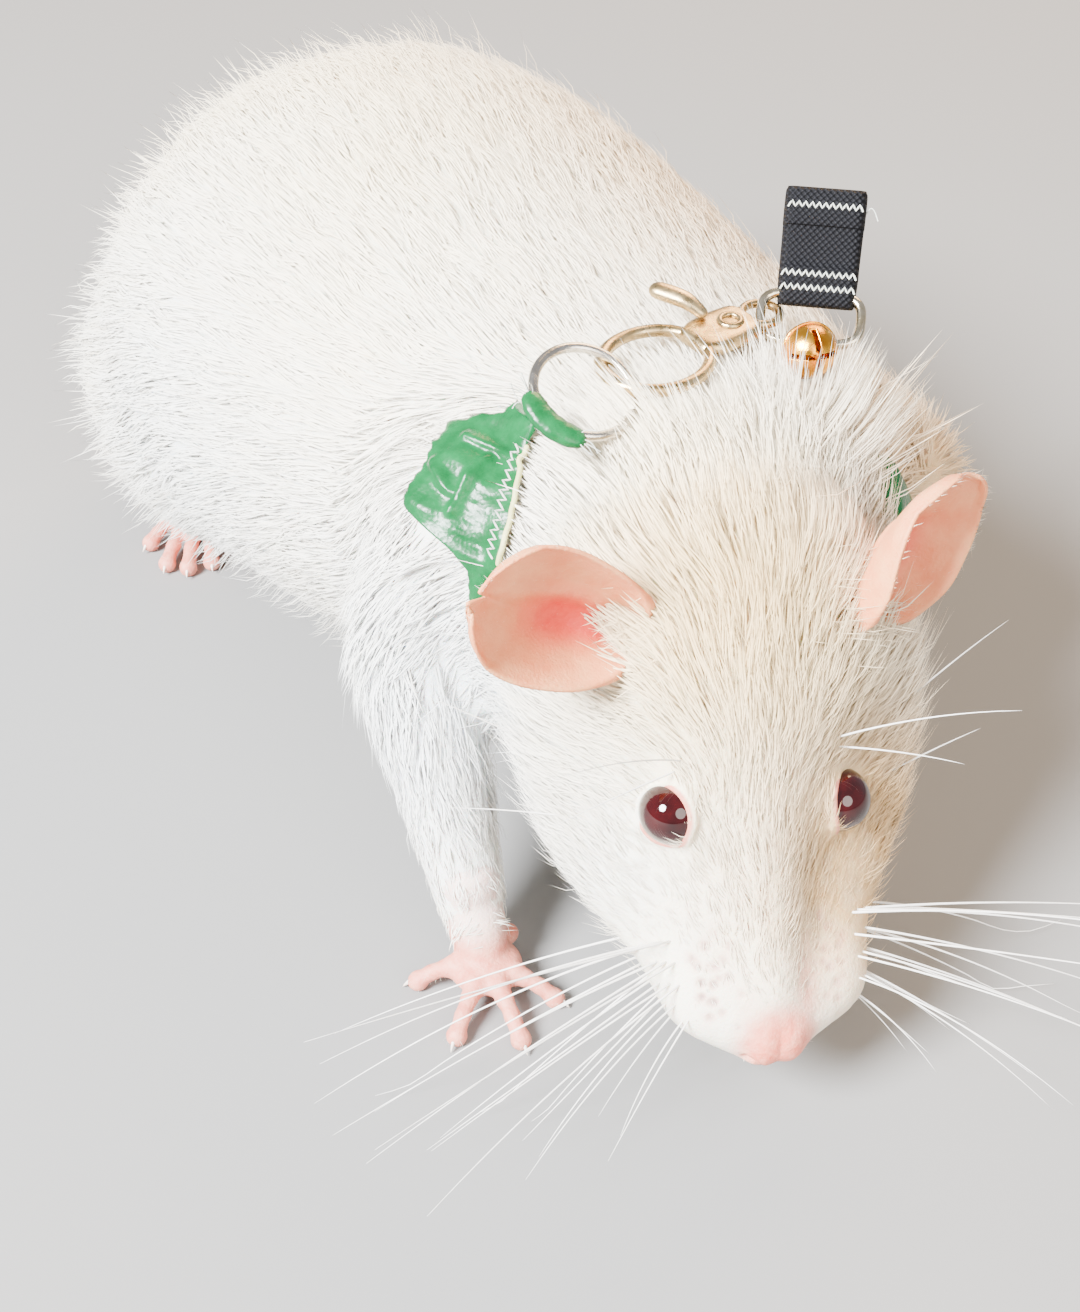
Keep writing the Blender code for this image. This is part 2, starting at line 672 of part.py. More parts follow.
def claw(root, way, thickness):
    tip = root + way * CLAW_LENGTH + Vector((0, 0, -0.4))
    rows = [(*(root - way * 0.8), thickness), (*root, thickness * 0.9), (*tip, thickness * 0.25)]
    return tube("claw", rows, sides=5, per_span=1, round_ends=False)


def make_digit(start, end, radius, lift):
    """A digit of three joints whose middle is arched, with its claw."""
    start, end = Vector(start), Vector(end)
    rows = []
    for t, scale in ((0.0, 1.05), (0.4, 0.95), (0.75, 0.9), (1.0, 1.0)):
        spot = start.lerp(end, t) + Vector((0, 0, lift * math.sin(math.pi * t)))
        rows.append((*spot, radius * scale))
    way = (end - start).normalized()
    return [tube("digit", rows, sides=7, per_span=1), claw(end + way * radius * 0.6, way, radius * 0.42)]


def make_forepaw(side):
    wrist, pad, tips = FOREPAWS[side]
    name = "forepaw_" + side
    pieces = [ball("pad", pad, (4.6, 4.4, 2.4), segments=12)]
    top = (wrist[0], wrist[1] + 0.6, wrist[2] + 2.6, 4.1)
    middle = (*(Vector(wrist).lerp(Vector(pad), 0.55)), 3.7)
    pieces.append(tube("wrist", [top, (*wrist, 4.0), middle, (*pad, 2.6)], sides=10, per_span=1))
    for x, y in tips:
        way = Vector((x, y, 0.0))
        start = Vector(pad) + way.normalized() * 2.4
        end = Vector((pad[0] + x * 0.86, pad[1] + y * 0.86, 0.95))
        pieces += make_digit(start, end, 1.15, 0.7)
    x, y = THUMBS[side]
    pieces.append(ball("thumb", (pad[0] + x, pad[1] + y, 2.2), (1.6, 1.6, 1.4), segments=8))
    paw = union(name, pieces)
    flatten_base(paw)
    return paw


def make_hind_foot(side):
    heel, turn, out = HIND_FEET[side]
    name = "hind_foot_" + side
    place = Matrix.Translation(heel) @ Matrix.Rotation(math.radians(turn), 4, "Z")
    rows = ((0.0, 0.0, 4.2, 3.6), (0.0, -8.0, 3.4, 3.3), (0.0, -17.0, 2.9, 3.2), (0.0, -23.0, 2.6, 3.4))
    sole = []
    for x, y, z, r in rows:
        spot = place @ Vector((x, y, z))
        sole.append((*spot, r))
    pieces = [tube("sole", sole, sides=12, per_span=1)]
    pieces.append(ball("pad", (0.0, -22.5, 2.2), (4.8, 4.0, 2.4), place, 14))
    for k, reach in enumerate((30.5, 36.0, 37.0, 35.5, 29.5)):
        spread = (k - 2) * 1.0
        start = place @ Vector((out * spread * -1.6, -23.0, 2.0))
        end = place @ Vector((out * spread * -3.3, -reach + 2.2, 1.05))
        pieces += make_digit(start, end, 1.3, 0.6)
    foot = union(name, pieces)
    flatten_base(foot)
    return foot


def make_tail(nodes):
    """Lengths of one tapering tail, flat underneath where it lies."""
    path = catmull([(*p, 0.0) for p in TAIL_PATH], 8)
    path[:, 3] = np.linspace(TAIL_ROOT_RADIUS, TAIL_TIP_RADIUS, len(path))
    sides = 10
    flat = math.cos(math.pi / sides)
    for i, row in enumerate(path):
        row[2] = max(row[2], row[3] * flat) if i < 28 else row[3] * flat
    steps = np.linalg.norm(np.diff(path[:, :3], axis=0), axis=1)
    run = np.concatenate(([0.0], np.cumsum(steps)))
    ends = np.linspace(0.0, run[-1], TAIL_LENGTHS + 1)
    ends[1] = run[-1] * 0.16
    turns = [2 * math.pi * (k + 0.5) / sides for k in range(sides)]
    for k in range(TAIL_LENGTHS):
        low = ends[k] + (GAP / 2 if k else 0.0)
        high = ends[k + 1] - (GAP / 2 if k < TAIL_LENGTHS - 1 else 0.0)
        rings = []
        for spot in np.linspace(low, high, 7):
            here, before, after = (
                np.array([np.interp(spot + step, run, path[:, c]) for c in range(4)])
                for step in (0.0, -3.0, 3.0)
            )
            ahead = Vector((after - before)[:3]).normalized()
            side = ahead.cross(Vector((0, 0, 1))).normalized()
            top = side.cross(ahead)
            ways = [side * math.cos(a) + top * math.sin(a) for a in turns]
            rings.append([Vector(here[:3]) + way * here[3] for way in ways])
        name = "tail_" + str(k + 1)
        nodes[name] = loft(name, rings)
        flatten_base(nodes[name])
    boolean(nodes["rump"], "DIFFERENCE", grown(nodes["tail_1"], GAP))


def search_tree(made):
    points = [vert.co.copy() for vert in made.data.vertices]
    return BVHTree.FromPolygons(points, [tuple(face.vertices) for face in made.data.polygons])


def bare_trunk():
    """Return a search tree of the trunk without its limbs, for straps to lie on."""
    rings = []
    for middle, y, top, level, bottom, half in catmull(TRUNK, 5):
        rings.append([(x, y, z) for x, z in outline(middle, top, level, bottom, half)])
    body = loft("bare_trunk", rings)
    tree = search_tree(body)
    remove(body)
    return tree


def surface_point(tree, degrees, y, height):
    """Return the point above the skin that many degrees round from the top."""
    angle = math.radians(degrees)
    way = Vector((-math.sin(angle), 0.0, math.cos(angle)))
    start = Vector((STRAP_AXIS[0], y, STRAP_AXIS[1]))
    hit = tree.ray_cast(start + way * 90.0, -way)[0]
    return hit + way * height


def band(name, tree, stops, low, high, margin=0.0, across=2):
    """A shell between two heights over the skin, through stops of degrees and the two edges' y."""
    inner, outer = [], []
    path = catmull(stops, 3)
    path[0, 0] -= margin * 2
    path[-1, 0] += margin * 2
    for degrees, front, back in path:
        front -= margin
        back += margin
        spots = [front + (back - front) * j / across for j in range(across + 1)]
        inner.append([surface_point(tree, degrees, spot, low) for spot in spots])
        outer.append([surface_point(tree, degrees, spot, high) for spot in spots])
    return slab_between(name, outer, inner)


def make_straps(nodes, trunk):
    """Sink the two straps into the trunk and cut whatever lies over them clear."""
    for name, middles in (("harness_neck_strap", NECK_STRAP), ("harness_girth_strap", GIRTH_STRAP)):
        stops = [(degrees, y - STRAP_WIDTH / 2, y + STRAP_WIDTH / 2) for degrees, y in middles]
        nodes[name] = band(name, trunk, stops, -STRAP_SINK, STRAP_THICKNESS - STRAP_SINK)
        for flesh_name in ("neck", "chest"):
            channel = band("channel", trunk, stops, -STRAP_SINK - GAP, CHANNEL_DEPTH, GAP)
            boolean(nodes[flesh_name], "DIFFERENCE", channel)
        for flesh_name in ("upper_arm_right", "upper_arm_left", "head"):
            clear_of(nodes[flesh_name], nodes[name])


def clip_frame():
    along = CLIP_ALONG.normalized()
    face = (CLIP_FACE - along * CLIP_FACE.dot(along)).normalized()
    across = face.cross(along)
    turn = Matrix((along, across, face)).transposed().to_4x4()
    return Matrix.Translation(CLIP_AT) @ turn


def rounded_link(name, half_length, half_width, wire, matrix, around=24, sides=6):
    """A wire loop between an oval and a rectangle, long along its own x."""
    rings = []
    spots = []
    for i in range(around):
        a = 2 * math.pi * (i + 0.5) / around
        c, s = math.cos(a), math.sin(a)
        spots.append(Vector((half_length * math.copysign(abs(c) ** 0.55, c),
                             half_width * math.copysign(abs(s) ** 0.55, s), 0.0)))
    for i, spot in enumerate(spots):
        ahead = (spots[(i + 1) % around] - spots[i - 1]).normalized()
        out = ahead.cross(Vector((0, 0, 1)))
        turns = [2 * math.pi * (k + 0.5) / sides for k in range(sides)]
        ways = [out * math.cos(b) + Vector((0, 0, math.sin(b))) for b in turns]
        rings.append([matrix @ (spot + way * wire) for way in ways])
    return closed_loop(name, rings)


def pillar(name, radius, half_height, matrix, sides=16):
    """A short upright cylinder in a frame of its own."""
    turns = [2 * math.pi * k / sides for k in range(sides)]
    rings = []
    for z in (-half_height, half_height):
        rings.append([matrix @ Vector((radius * math.cos(a), radius * math.sin(a), z)) for a in turns])
    return loft(name, rings)


def closed_loop(name, rings):
    """Join rings of points in order and the last to the first."""
    bm = bmesh.new()
    loops = [[bm.verts.new(p) for p in ring] for ring in rings]
    sides = len(rings[0])
    for i, low in enumerate(loops):
        high = loops[(i + 1) % len(loops)]
        for k in range(sides):
            bm.faces.new((low[k], low[(k + 1) % sides], high[(k + 1) % sides], high[k]))
    return new_object(name, bm)


def make_clip(nodes):
    """The ring, the snap clip on it, and the link that holds its bell and webbing end."""
    frame = clip_frame()
    ring_tilt = Matrix.Rotation(RING_TILT, 4, "X")
    nodes["harness_ring"] = ring_of_wire("harness_ring", RING_RADIUS, RING_WIRE, frame @ ring_tilt, 24, 6)
    at = frame @ Matrix.Rotation(CLIP_TILT, 4, "X")
    bow_at = at @ Matrix.Translation((BOW_AT, 0, 0))
    bow = ring_of_wire("bow", BOW_RADIUS, BOW_WIRE, bow_at, 20, 6, BOW_STRETCH)
    top, low = [], []
    for back, half in PLATE:
        spots = [half * (j / 3 * 2 - 1) for j in range(4)]
        top.append([at @ Vector((RIVET_AT + back, y, PLATE_HALF_THICKNESS)) for y in spots])
        low.append([at @ Vector((RIVET_AT + back, y, -PLATE_HALF_THICKNESS)) for y in spots])
    plate = slab_between("plate", top, low)
    swivel = at @ Matrix.Translation((SWIVEL_AT, 0, 0))
    eye = ring_of_wire("eye", 2.1, 0.5, swivel, 14, 6)
    nodes["clip_body"] = union("clip_body", [bow, plate, eye])
    rivet_at = at @ Matrix.Translation((RIVET_AT, 0.0, 0.0))
    boolean(nodes["clip_body"], "DIFFERENCE", pillar("rivet_hole", RIVET_RADIUS + GAP, 3.0, rivet_at))
    nodes["clip_rivet"] = pillar("clip_rivet", RIVET_RADIUS, 1.2, rivet_at)
    boolean(nodes["clip_rivet"], "DIFFERENCE", pillar("bore", RIVET_BORE, 4.0, rivet_at))
    lever = []
    for back, y, z, r in LEVER:
        lever.append((*(at @ Vector((RIVET_AT + back, y, z))), r))
    nodes["clip_trigger"] = tube("clip_trigger", lever, sides=8, per_span=1)
    link_turn = Matrix.Rotation(math.radians(-45), 4, "Z") @ Matrix.Rotation(math.radians(30), 4, "X")
    link_at = swivel @ link_turn @ Matrix.Translation((LINK_HALF_LENGTH, 0, 0))
    nodes["clip_link"] = rounded_link("clip_link", LINK_HALF_LENGTH, LINK_HALF_WIDTH, 0.55, link_at, 20)
    make_webbing(nodes, link_at)
    make_bell(nodes, link_at)


def straight_band(name, start, way, side, thick, stops):
    """A flat band through stops of distance along it, half width and half thickness."""
    grids = []
    for sign in (1, -1):
        rows = []
        for along, half, deep in stops:
            centre = start + way * along + thick * deep * sign
            rows.append([centre + side * half * v for v in (-1, -0.4, 0.4, 1)])
        grids.append(rows)
    return slab_between(name, *grids)


def make_webbing(nodes, link_at):
    """The sewn end of a flat band, folded round the link."""
    upper = link_at @ Vector((0.4, LINK_HALF_WIDTH, 0.0))
    side = (link_at.to_3x3() @ Vector((1, 0, 0))).normalized()
    way = (WEBBING_RISE - side * WEBBING_RISE.dot(side)).normalized()
    thick = side.cross(way)
    nodes["webbing_end"] = straight_band("webbing_end", upper, way, side, thick, WEBBING)
    clear_of(nodes["webbing_end"], nodes["clip_link"])


def make_bell(nodes, link_at):
    """A round bell with a cross of slots, hung from the link by its eye."""
    lower = link_at @ Vector((-1.2, -LINK_HALF_WIDTH, 0.0))
    hang = (BELL_AT - lower).normalized()
    turn = hang.to_track_quat("X", "Y").to_matrix().to_4x4()
    eye = ring_of_wire("bell_eye", 1.4, 0.38, Matrix.Translation(lower + hang * 0.4) @ turn, 12, 6)
    place = Matrix.Translation(BELL_AT) @ hang.to_track_quat("Z", "Y").to_matrix().to_4x4()
    neck_rows = [(*(lower + hang * 1.6), 0.5), (*(BELL_AT - hang * BELL_RADIUS * 0.8), 0.8)]
    neck = tube("bell_neck", neck_rows, sides=6, per_span=1, round_ends=False, up=Vector((1, 0, 0)))
    body = ball("bell", (0, 0, 0), [BELL_RADIUS] * 3, place, 14)
    nodes["bell"] = union("bell", [body, neck, eye])
    for degrees in (0, 90):
        across = place @ Matrix.Rotation(math.radians(degrees), 4, "Z")
        slot = block("slot", (-0.3, -4.0, 1.4), (0.3, 4.0, 5.0), across)
        boolean(nodes["bell"], "DIFFERENCE", slot)


def make_loop(nodes, tree):
    """The end of the shoulder panel, rolled over the ring and gathered."""
    frame = clip_frame()
    on_ring = Vector((RING_RADIUS * math.cos(LOOP_AT), RING_RADIUS * math.sin(LOOP_AT), 0.0))
    spot = frame @ (Matrix.Rotation(RING_TILT, 4, "X") @ on_ring)
    degrees, front, back = YOKE[0]
    height = STRAP_LIFT + STRAP_THICKNESS / 2
    low = [surface_point(tree, degrees - 1.5, y, height) for y in (front + 1.0, back - 1.0)]
    middle = (low[0] + low[1]) / 2
    side = (low[1] - low[0]).normalized()
    way = (spot - middle).normalized()
    thick = side.cross(way).normalized()
    reach = (spot - middle).length
    roll = [(reach + past, half, deep) for past, half, deep in LOOP_ROLL]
    stops = [(0.0, 2.6, 0.45), (reach * 0.45, 2.4, 0.6)] + roll
    nodes["harness_loop"] = straight_band("harness_loop", middle, way, side, thick, stops)
    clear_of(nodes["harness_loop"], nodes["harness_ring"])
    clear_of(nodes["harness_loop"], nodes["harness_yoke"])


def material(name, colour, roughness, metallic=0.0):
    made = bpy.data.materials.new(name)
    made.use_nodes = True
    shader = made.node_tree.nodes["Principled BSDF"]
    shader.inputs["Base Color"].default_value = (*colour, 1.0)
    shader.inputs["Roughness"].default_value = roughness
    shader.inputs["Metallic"].default_value = metallic
    made.diffuse_color = (*colour, 1.0)
    return made


def finish(nodes):
    """Give each node its name, material and true scale, with the origin under the middle."""
    looks = (
        ("eye_", material("eye", (0.035, 0.006, 0.008), 0.08)),
        ("ear_", material("ear_skin", (0.86, 0.46, 0.36), 0.55)),
        ("forepaw_", material("paw_skin", (0.86, 0.52, 0.48), 0.55)),
        ("hind_foot_", material("foot_skin", (0.86, 0.52, 0.48), 0.55)),
        ("tail_", material("tail_skin", (0.80, 0.56, 0.50), 0.6)),
        ("harness_ring", material("steel", (0.62, 0.60, 0.57), 0.25, 1.0)),
        ("clip_", material("nickel", (0.60, 0.53, 0.42), 0.25, 1.0)),
        ("bell", material("gold", (0.85, 0.48, 0.10), 0.22, 1.0)),
        ("webbing_", material("webbing", (0.012, 0.012, 0.013), 0.8)),
        ("harness_", material("green_leather", (0.035, 0.33, 0.15), 0.4)),
        ("", material("coat", (0.86, 0.82, 0.74), 0.85)),
    )
    low = Vector((1e9, 1e9, 1e9))
    high = -low
    for node in nodes.values():
        for vert in node.data.vertices:
            low = Vector(map(min, low, vert.co))
            high = Vector(map(max, high, vert.co))
    shift = Vector((-(low.x + high.x) / 2, -(low.y + high.y) / 2, 0.0))
    for name, node in nodes.items():
        node.name = name
        node.data.name = name
        node.data.transform(Matrix.Scale(0.001, 4) @ Matrix.Translation(shift))
        node.data.materials.clear()
        node.data.materials.append(next(look for start, look in looks if name.startswith(start)))
        smooth(node)
    print("middle of the whole in the modelling frame, mm:", [round(-v, 3) for v in shift])
    return shift


def main():
    for old in list(bpy.data.objects):
        bpy.data.objects.remove(old)
    flesh = make_flesh()
    skin = search_tree(flesh)
    nodes = split_flesh(flesh)
    make_straps(nodes, bare_trunk())
    top_height = STRAP_LIFT + STRAP_THICKNESS
    nodes["harness_yoke"] = band("harness_yoke", skin, YOKE, STRAP_LIFT, top_height, across=4)
    make_clip(nodes)
    make_loop(nodes, skin)
    make_eyes(nodes)
    part_muzzle(nodes)
    for side, name in ((-1, "ear_right"), (1, "ear_left")):
        nodes[name] = make_ear(name, side)
        for flesh_name in ("head", "neck"):
            clear_of(nodes[name], nodes[flesh_name])
    for side in ("right", "left"):
        nodes["forepaw_" + side] = make_forepaw(side)
        clear_of(nodes["forepaw_" + side], nodes["forearm_" + side])
        nodes["hind_foot_" + side] = make_hind_foot(side)
        hull = hull_of(nodes["hind_foot_" + side], "foot_hull")
        for name in ("thigh_" + side, "rump", "belly"):
            clear_of(nodes[name], hull)
        remove(hull)
    make_tail(nodes)
    limbs = [limb + side for limb in ("upper_arm_", "thigh_") for side in ("right", "left")]
    for name in ["head", "neck", "chest", "belly", "rump", *limbs]:
        merge_flat(nodes[name])
    return finish(nodes)


if __name__ == "__main__":
    main()
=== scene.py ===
# %% [markdown]
# # A white pet rat in a green harness
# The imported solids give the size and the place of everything. This lesson dresses them: one skin
# over all the flesh, a coat of small solid tufts, wet eyes, whiskers, and the harness with its clip.
# Sizes are millimetres in the frame of the solids' own source, and the last step scales each piece.

# %% Load the solids
import math

import bmesh
import bpy
import numpy as np
from mathutils import Matrix, Vector
from mathutils.bvhtree import BVHTree
from mathutils.kdtree import KDTree


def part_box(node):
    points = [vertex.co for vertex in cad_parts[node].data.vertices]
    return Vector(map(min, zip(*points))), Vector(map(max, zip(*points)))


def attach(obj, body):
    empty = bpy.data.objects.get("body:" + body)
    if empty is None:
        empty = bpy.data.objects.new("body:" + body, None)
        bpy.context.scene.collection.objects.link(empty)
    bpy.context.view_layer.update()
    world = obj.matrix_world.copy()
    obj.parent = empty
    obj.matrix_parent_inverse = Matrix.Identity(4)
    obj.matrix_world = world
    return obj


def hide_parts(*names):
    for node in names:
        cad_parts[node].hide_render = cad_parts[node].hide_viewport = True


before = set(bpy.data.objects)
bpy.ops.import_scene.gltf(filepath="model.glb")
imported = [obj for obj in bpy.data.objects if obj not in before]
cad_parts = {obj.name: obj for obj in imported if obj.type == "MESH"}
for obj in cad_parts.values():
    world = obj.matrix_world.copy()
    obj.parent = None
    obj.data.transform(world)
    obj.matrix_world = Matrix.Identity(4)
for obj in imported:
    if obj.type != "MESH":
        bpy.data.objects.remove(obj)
bpy.context.view_layer.update()
MM = 0.001

# %% [markdown]
# ## The head's own frame
# The rat looks down and to its right, so a frame fixed to the head makes a face easy to describe:
# x to its left, y to its nape and z to its crown, starting midway between the eyes. The middle of
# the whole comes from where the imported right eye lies.

# %% Frames
HEAD_AT = Vector((-10.0, -50.0, 36.0))
HEAD_TURN, HEAD_PITCH, HEAD_ROLL = math.radians(-21.5), math.radians(49), math.radians(-2)
EYE_AT = Vector((8.6, 0.6, -2.2))
EYE_RADIUS = 3.4
LEFT_EYE_AT = Vector((9.3, -0.8, -3.2))
EYE_AXIS = Vector((0.74, -0.16, 0.65)).normalized()
HEAD_FRAME = (Matrix.Translation(HEAD_AT) @ Matrix.Rotation(HEAD_TURN, 4, "Z")
              @ Matrix.Rotation(HEAD_PITCH, 4, "X") @ Matrix.Rotation(-HEAD_ROLL, 4, "Y"))
HEAD_AXES = np.array(HEAD_FRAME.to_3x3())
low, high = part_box("eye_right")
MIDDLE = HEAD_FRAME @ Vector((-EYE_AT.x, EYE_AT.y, EYE_AT.z)) - (low + high) / 2 / MM
print("middle of the whole, mm:", [round(v, 2) for v in MIDDLE])


def head_to_body(points):
    """Bring points of the head's frame into the body's."""
    return np.asarray(points, dtype=float) @ HEAD_AXES.T + np.array(HEAD_AT)


def body_to_head(points):
    """Bring points of the body's frame into the head's."""
    return (np.asarray(points, dtype=float) - np.array(HEAD_AT)) @ HEAD_AXES


def eye_centre(side):
    """The middle of an eyeball in the body's frame; side is -1 for the right one."""
    at = LEFT_EYE_AT if side > 0 else EYE_AT
    return HEAD_FRAME @ Vector((at.x * side, at.y, at.z))


def placed(name, data):
    """Put an object with this data into the scene."""
    made = bpy.data.objects.new(name, data)
    bpy.context.scene.collection.objects.link(made)
    return made


# %% [markdown]
# ## Camera
# The photo looks down on the rat from its front right. The camera is placed by the eyes, the ears,
# the nose and the right forepaw, and its long lens keeps the head from swelling.

# %% Camera
IMAGE_HEIGHT = 1312
FOCAL_PIXELS = 1900
SENSOR = 36.0
CAMERA_AT = Vector((-107.05, -154.36, 164.90))
CAMERA_LOOKS = Vector((0.4406, 0.6533, -0.6157))
camera_data = bpy.data.cameras.new("camera")
camera = placed("camera", camera_data)
bpy.context.scene.camera = camera
camera_data.sensor_width = SENSOR
camera_data.lens = SENSOR * FOCAL_PIXELS / IMAGE_HEIGHT
camera_data.clip_start = 0.01
camera.location = (CAMERA_AT - MIDDLE) * MM
camera.rotation_euler = CAMERA_LOOKS.to_track_quat("-Z", "Y").to_euler()
print("lens in mm:", round(camera_data.lens, 2))

# %% [markdown]
# ## Light and floor
# The photo's light comes from the rat's right, cool there and warm on its far side. Round lamps and
# a bright sky give soft shadows, and a pale floor bounces some light into the belly.

# %% Light
LAMPS_LOOK_AT = Vector((0.0, 0.0, 0.03))
SKY_COLOUR, SKY_STRENGTH = (0.9, 0.93, 1.0, 1.0), 0.62


def lamp(name, place, size, power, colour):
    """A round lamp, sizes in metres, that looks at the rat."""
    data = bpy.data.lights.new(name, "AREA")
    data.shape = "DISK"
    data.size = size
    data.energy = power
    data.color = colour
    made = placed(name, data)
    made.location = Vector(place)
    made.rotation_euler = (LAMPS_LOOK_AT - made.location).to_track_quat("-Z", "Y").to_euler()


lamp("key_lamp", (-0.8, -0.15, 0.7), 0.4, 92.0, (0.96, 0.98, 1.0))
lamp("warm_lamp", (0.6, 0.35, 0.6), 0.5, 12.0, (1.0, 0.66, 0.34))
lamp("front_lamp", (-0.1, -0.9, 0.5), 0.6, 9.0, (1.0, 0.94, 0.86))
world = bpy.data.worlds.new("studio")
world.use_nodes = True
sky = world.node_tree.nodes["Background"].inputs
sky["Color"].default_value = SKY_COLOUR
sky["Strength"].default_value = SKY_STRENGTH
bpy.context.scene.world = world


# %% [markdown]
# ## Materials from nodes
# A small helper adds a node and links what it is given: a linked socket where the value is another
# node's output, a plain value otherwise. Each finish below is then a short recipe.

# %% Node helpers
def new_material(name):
    """A material, its nodes and the shader among them."""
    made = bpy.data.materials.new(name)
    made.use_nodes = True
    return made, made.node_tree, made.node_tree.nodes["Principled BSDF"]


def node(tree, kind, inputs=(), **settings):
    """Add a node with settings, and feed its sockets from (socket, value or output) pairs."""
    made = tree.nodes.new("ShaderNode" + kind)
    for key, value in settings.items():
        setattr(made, key, value)
    for socket, value in inputs:
        feed(tree, made, socket, value)
    return made


def feed(tree, made, socket, value):
    """Link a socket to a node's output, or set it to a value."""
    if isinstance(value, bpy.types.NodeSocket):
        tree.links.new(value, made.inputs[socket])
    else:
        made.inputs[socket].default_value = value


def attribute(tree, name):
    """A mark of the mesh, such as how bare the skin is."""
    return node(tree, "Attribute", attribute_name=name).outputs["Fac"]


def position(tree):
    return node(tree, "NewGeometry").outputs["Position"]


def noise(tree, scale, detail=3.0, where=None):
    """Noise over the surface; scale counts features per metre."""
    sockets = [("Scale", scale), ("Detail", detail), ("Roughness", 0.55), ("Vector", where or position(tree))]
    return node(tree, "TexNoise", sockets).outputs["Fac"]


# %% Colours from values
def ramp(tree, fac, *stops):
    """Colours along a value, from (place, colour) stops."""
    made = node(tree, "ValToRGB", [("Fac", fac)])
    elements = made.color_ramp.elements
    while len(elements) < len(stops):
        elements.new(0.5)
    for element, (place, colour) in zip(elements, stops):
        element.position = place
        element.color = (*colour, 1.0)
    return made.outputs["Color"]


def grey_ramp(tree, fac, *stops):
    """Plain values along a value."""
    return ramp(tree, fac, *[(place, (value,) * 3) for place, value in stops])


def mix(tree, fac, first, second, blend="MIX"):
    """A share of the second colour over the first."""
    made = node(tree, "Mix", data_type="RGBA", blend_type=blend)
    for socket, value in ((0, fac), (6, first), (7, second)):
        if isinstance(value, tuple):
            value = (*value, 1.0)
        feed(tree, made, socket, value)
    return made.outputs[2]


def maths(tree, operation, first, second=0.0, clamp=False):
    """One sum of two values or outputs."""
    return node(tree, "Math", [(0, first), (1, second)], operation=operation, use_clamp=clamp).outputs[0]


def relief(tree, shader, height, distance, strength=1.0):
    """Small bumps, as deep as distance in metres."""
    made = node(tree, "Bump", [("Height", height), ("Distance", distance), ("Strength", strength)])
    tree.links.new(made.outputs["Normal"], shader.inputs["Normal"])


def mottled_look(name, cells, dark, light, rough_cells, smoothest, roughest):
    """A finish whose colour and roughness both drift with noise, with its nodes and shader."""
    made, tree, shader = new_material(name)
    feed(tree, shader, "Base Color", ramp(tree, noise(tree, cells), (0.3, dark), (0.7, light)))
    worn = grey_ramp(tree, noise(tree, rough_cells), (0.3, smoothest), (0.7, roughest))
    feed(tree, shader, "Roughness", worn)
    return made, tree, shader


# %% Floor
FLOOR_SIZE = 6.0
FLOOR_COLOUR, FLOOR_ROUGHNESS = (0.24, 0.237, 0.233, 1.0), 0.85
FLOOR_UNDER = 0.0002


def from_bmesh(name, bm):
    """An object with the mesh that has been built."""
    mesh = bpy.data.meshes.new(name)
    bm.to_mesh(mesh)
    bm.free()
    return placed(name, mesh)


floor_bm = bmesh.new()
bmesh.ops.create_grid(floor_bm, x_segments=1, y_segments=1, size=FLOOR_SIZE)
floor = from_bmesh("floor", floor_bm)
floor_look, tree, shader = new_material("pale_floor")
shader.inputs["Base Color"].default_value = FLOOR_COLOUR
shader.inputs["Roughness"].default_value = FLOOR_ROUGHNESS
floor.data.materials.append(floor_look)
floor.location.z = -FLOOR_UNDER


# %% [markdown]
# ## Small tools for meshes
# Most pieces here are lofts: rings of points joined in order. Arrays make them fast, and modifiers
# are applied by reading the evaluated mesh back.

# %% Mesh helpers
def catmull(rows, per_span):
    """Rows on a smooth curve through the given rows, per_span of them to each span."""
    rows = np.array(rows, dtype=float)
    padded = np.vstack((2 * rows[0] - rows[1], rows, 2 * rows[-1] - rows[-2]))
    out = []
    for i in range(1, len(padded) - 2):
        before, start, end, after = padded[i - 1:i + 3]
        for t in np.arange(per_span) / per_span:
            bend = 2 * before - 5 * start + 4 * end - after
            twist = 3 * start - before - 3 * end + after
            out.append(0.5 * (2 * start + (end - before) * t + bend * t**2 + twist * t**3))
    out.append(rows[-1])
    return np.array(out)


def smoothstep(value, low, high):
    """0 up to the low value, 1 from the high one, and a smooth rise between."""
    t = np.clip((value - low) / (high - low), 0.0, 1.0)
    return t * t * (3 - 2 * t)


def unit(vectors):
    return vectors / np.maximum(np.linalg.norm(vectors, axis=-1, keepdims=True), 1e-9)


def hump(value, width):
    """1 where the value is 0, dying out over a width on both sides."""
    return np.exp(-((value / width) ** 2))


def swell(points, centre, radii):
    """A soft bump that is 1 at its centre and dies out over the radii."""
    apart = (points - np.array(centre)) / np.array(radii)
    return np.exp(-np.sum(apart * apart, axis=-1))


def closed_object(name, points, faces):
    """An object from points and faces, with every face turned outward."""
    mesh = bpy.data.meshes.new(name)
    mesh.from_pydata([tuple(p) for p in points], [], [tuple(f) for f in faces])
    bm = bmesh.new()
    bm.from_mesh(mesh)
    bmesh.ops.recalc_face_normals(bm, faces=bm.faces)
    bm.to_mesh(mesh)
    bm.free()
    return placed(name, mesh)


def loft(name, rings, closed=False):
    """Join rings of points in order, with flat ends or, closed, the last to the first."""
    rings = np.asarray(rings, dtype=float)
    count, sides = rings.shape[:2]
    faces = []
    for i in range(count if closed else count - 1):
        low, high = i * sides, (i + 1) % count * sides
        for k in range(sides):
            after = (k + 1) % sides
            faces.append((low + k, low + after, high + after, high + k))
    if not closed:
        faces.append(tuple(range(sides)))
        faces.append(tuple(range((count - 1) * sides, count * sides)))
    return closed_object(name, rings.reshape(-1, 3), faces)


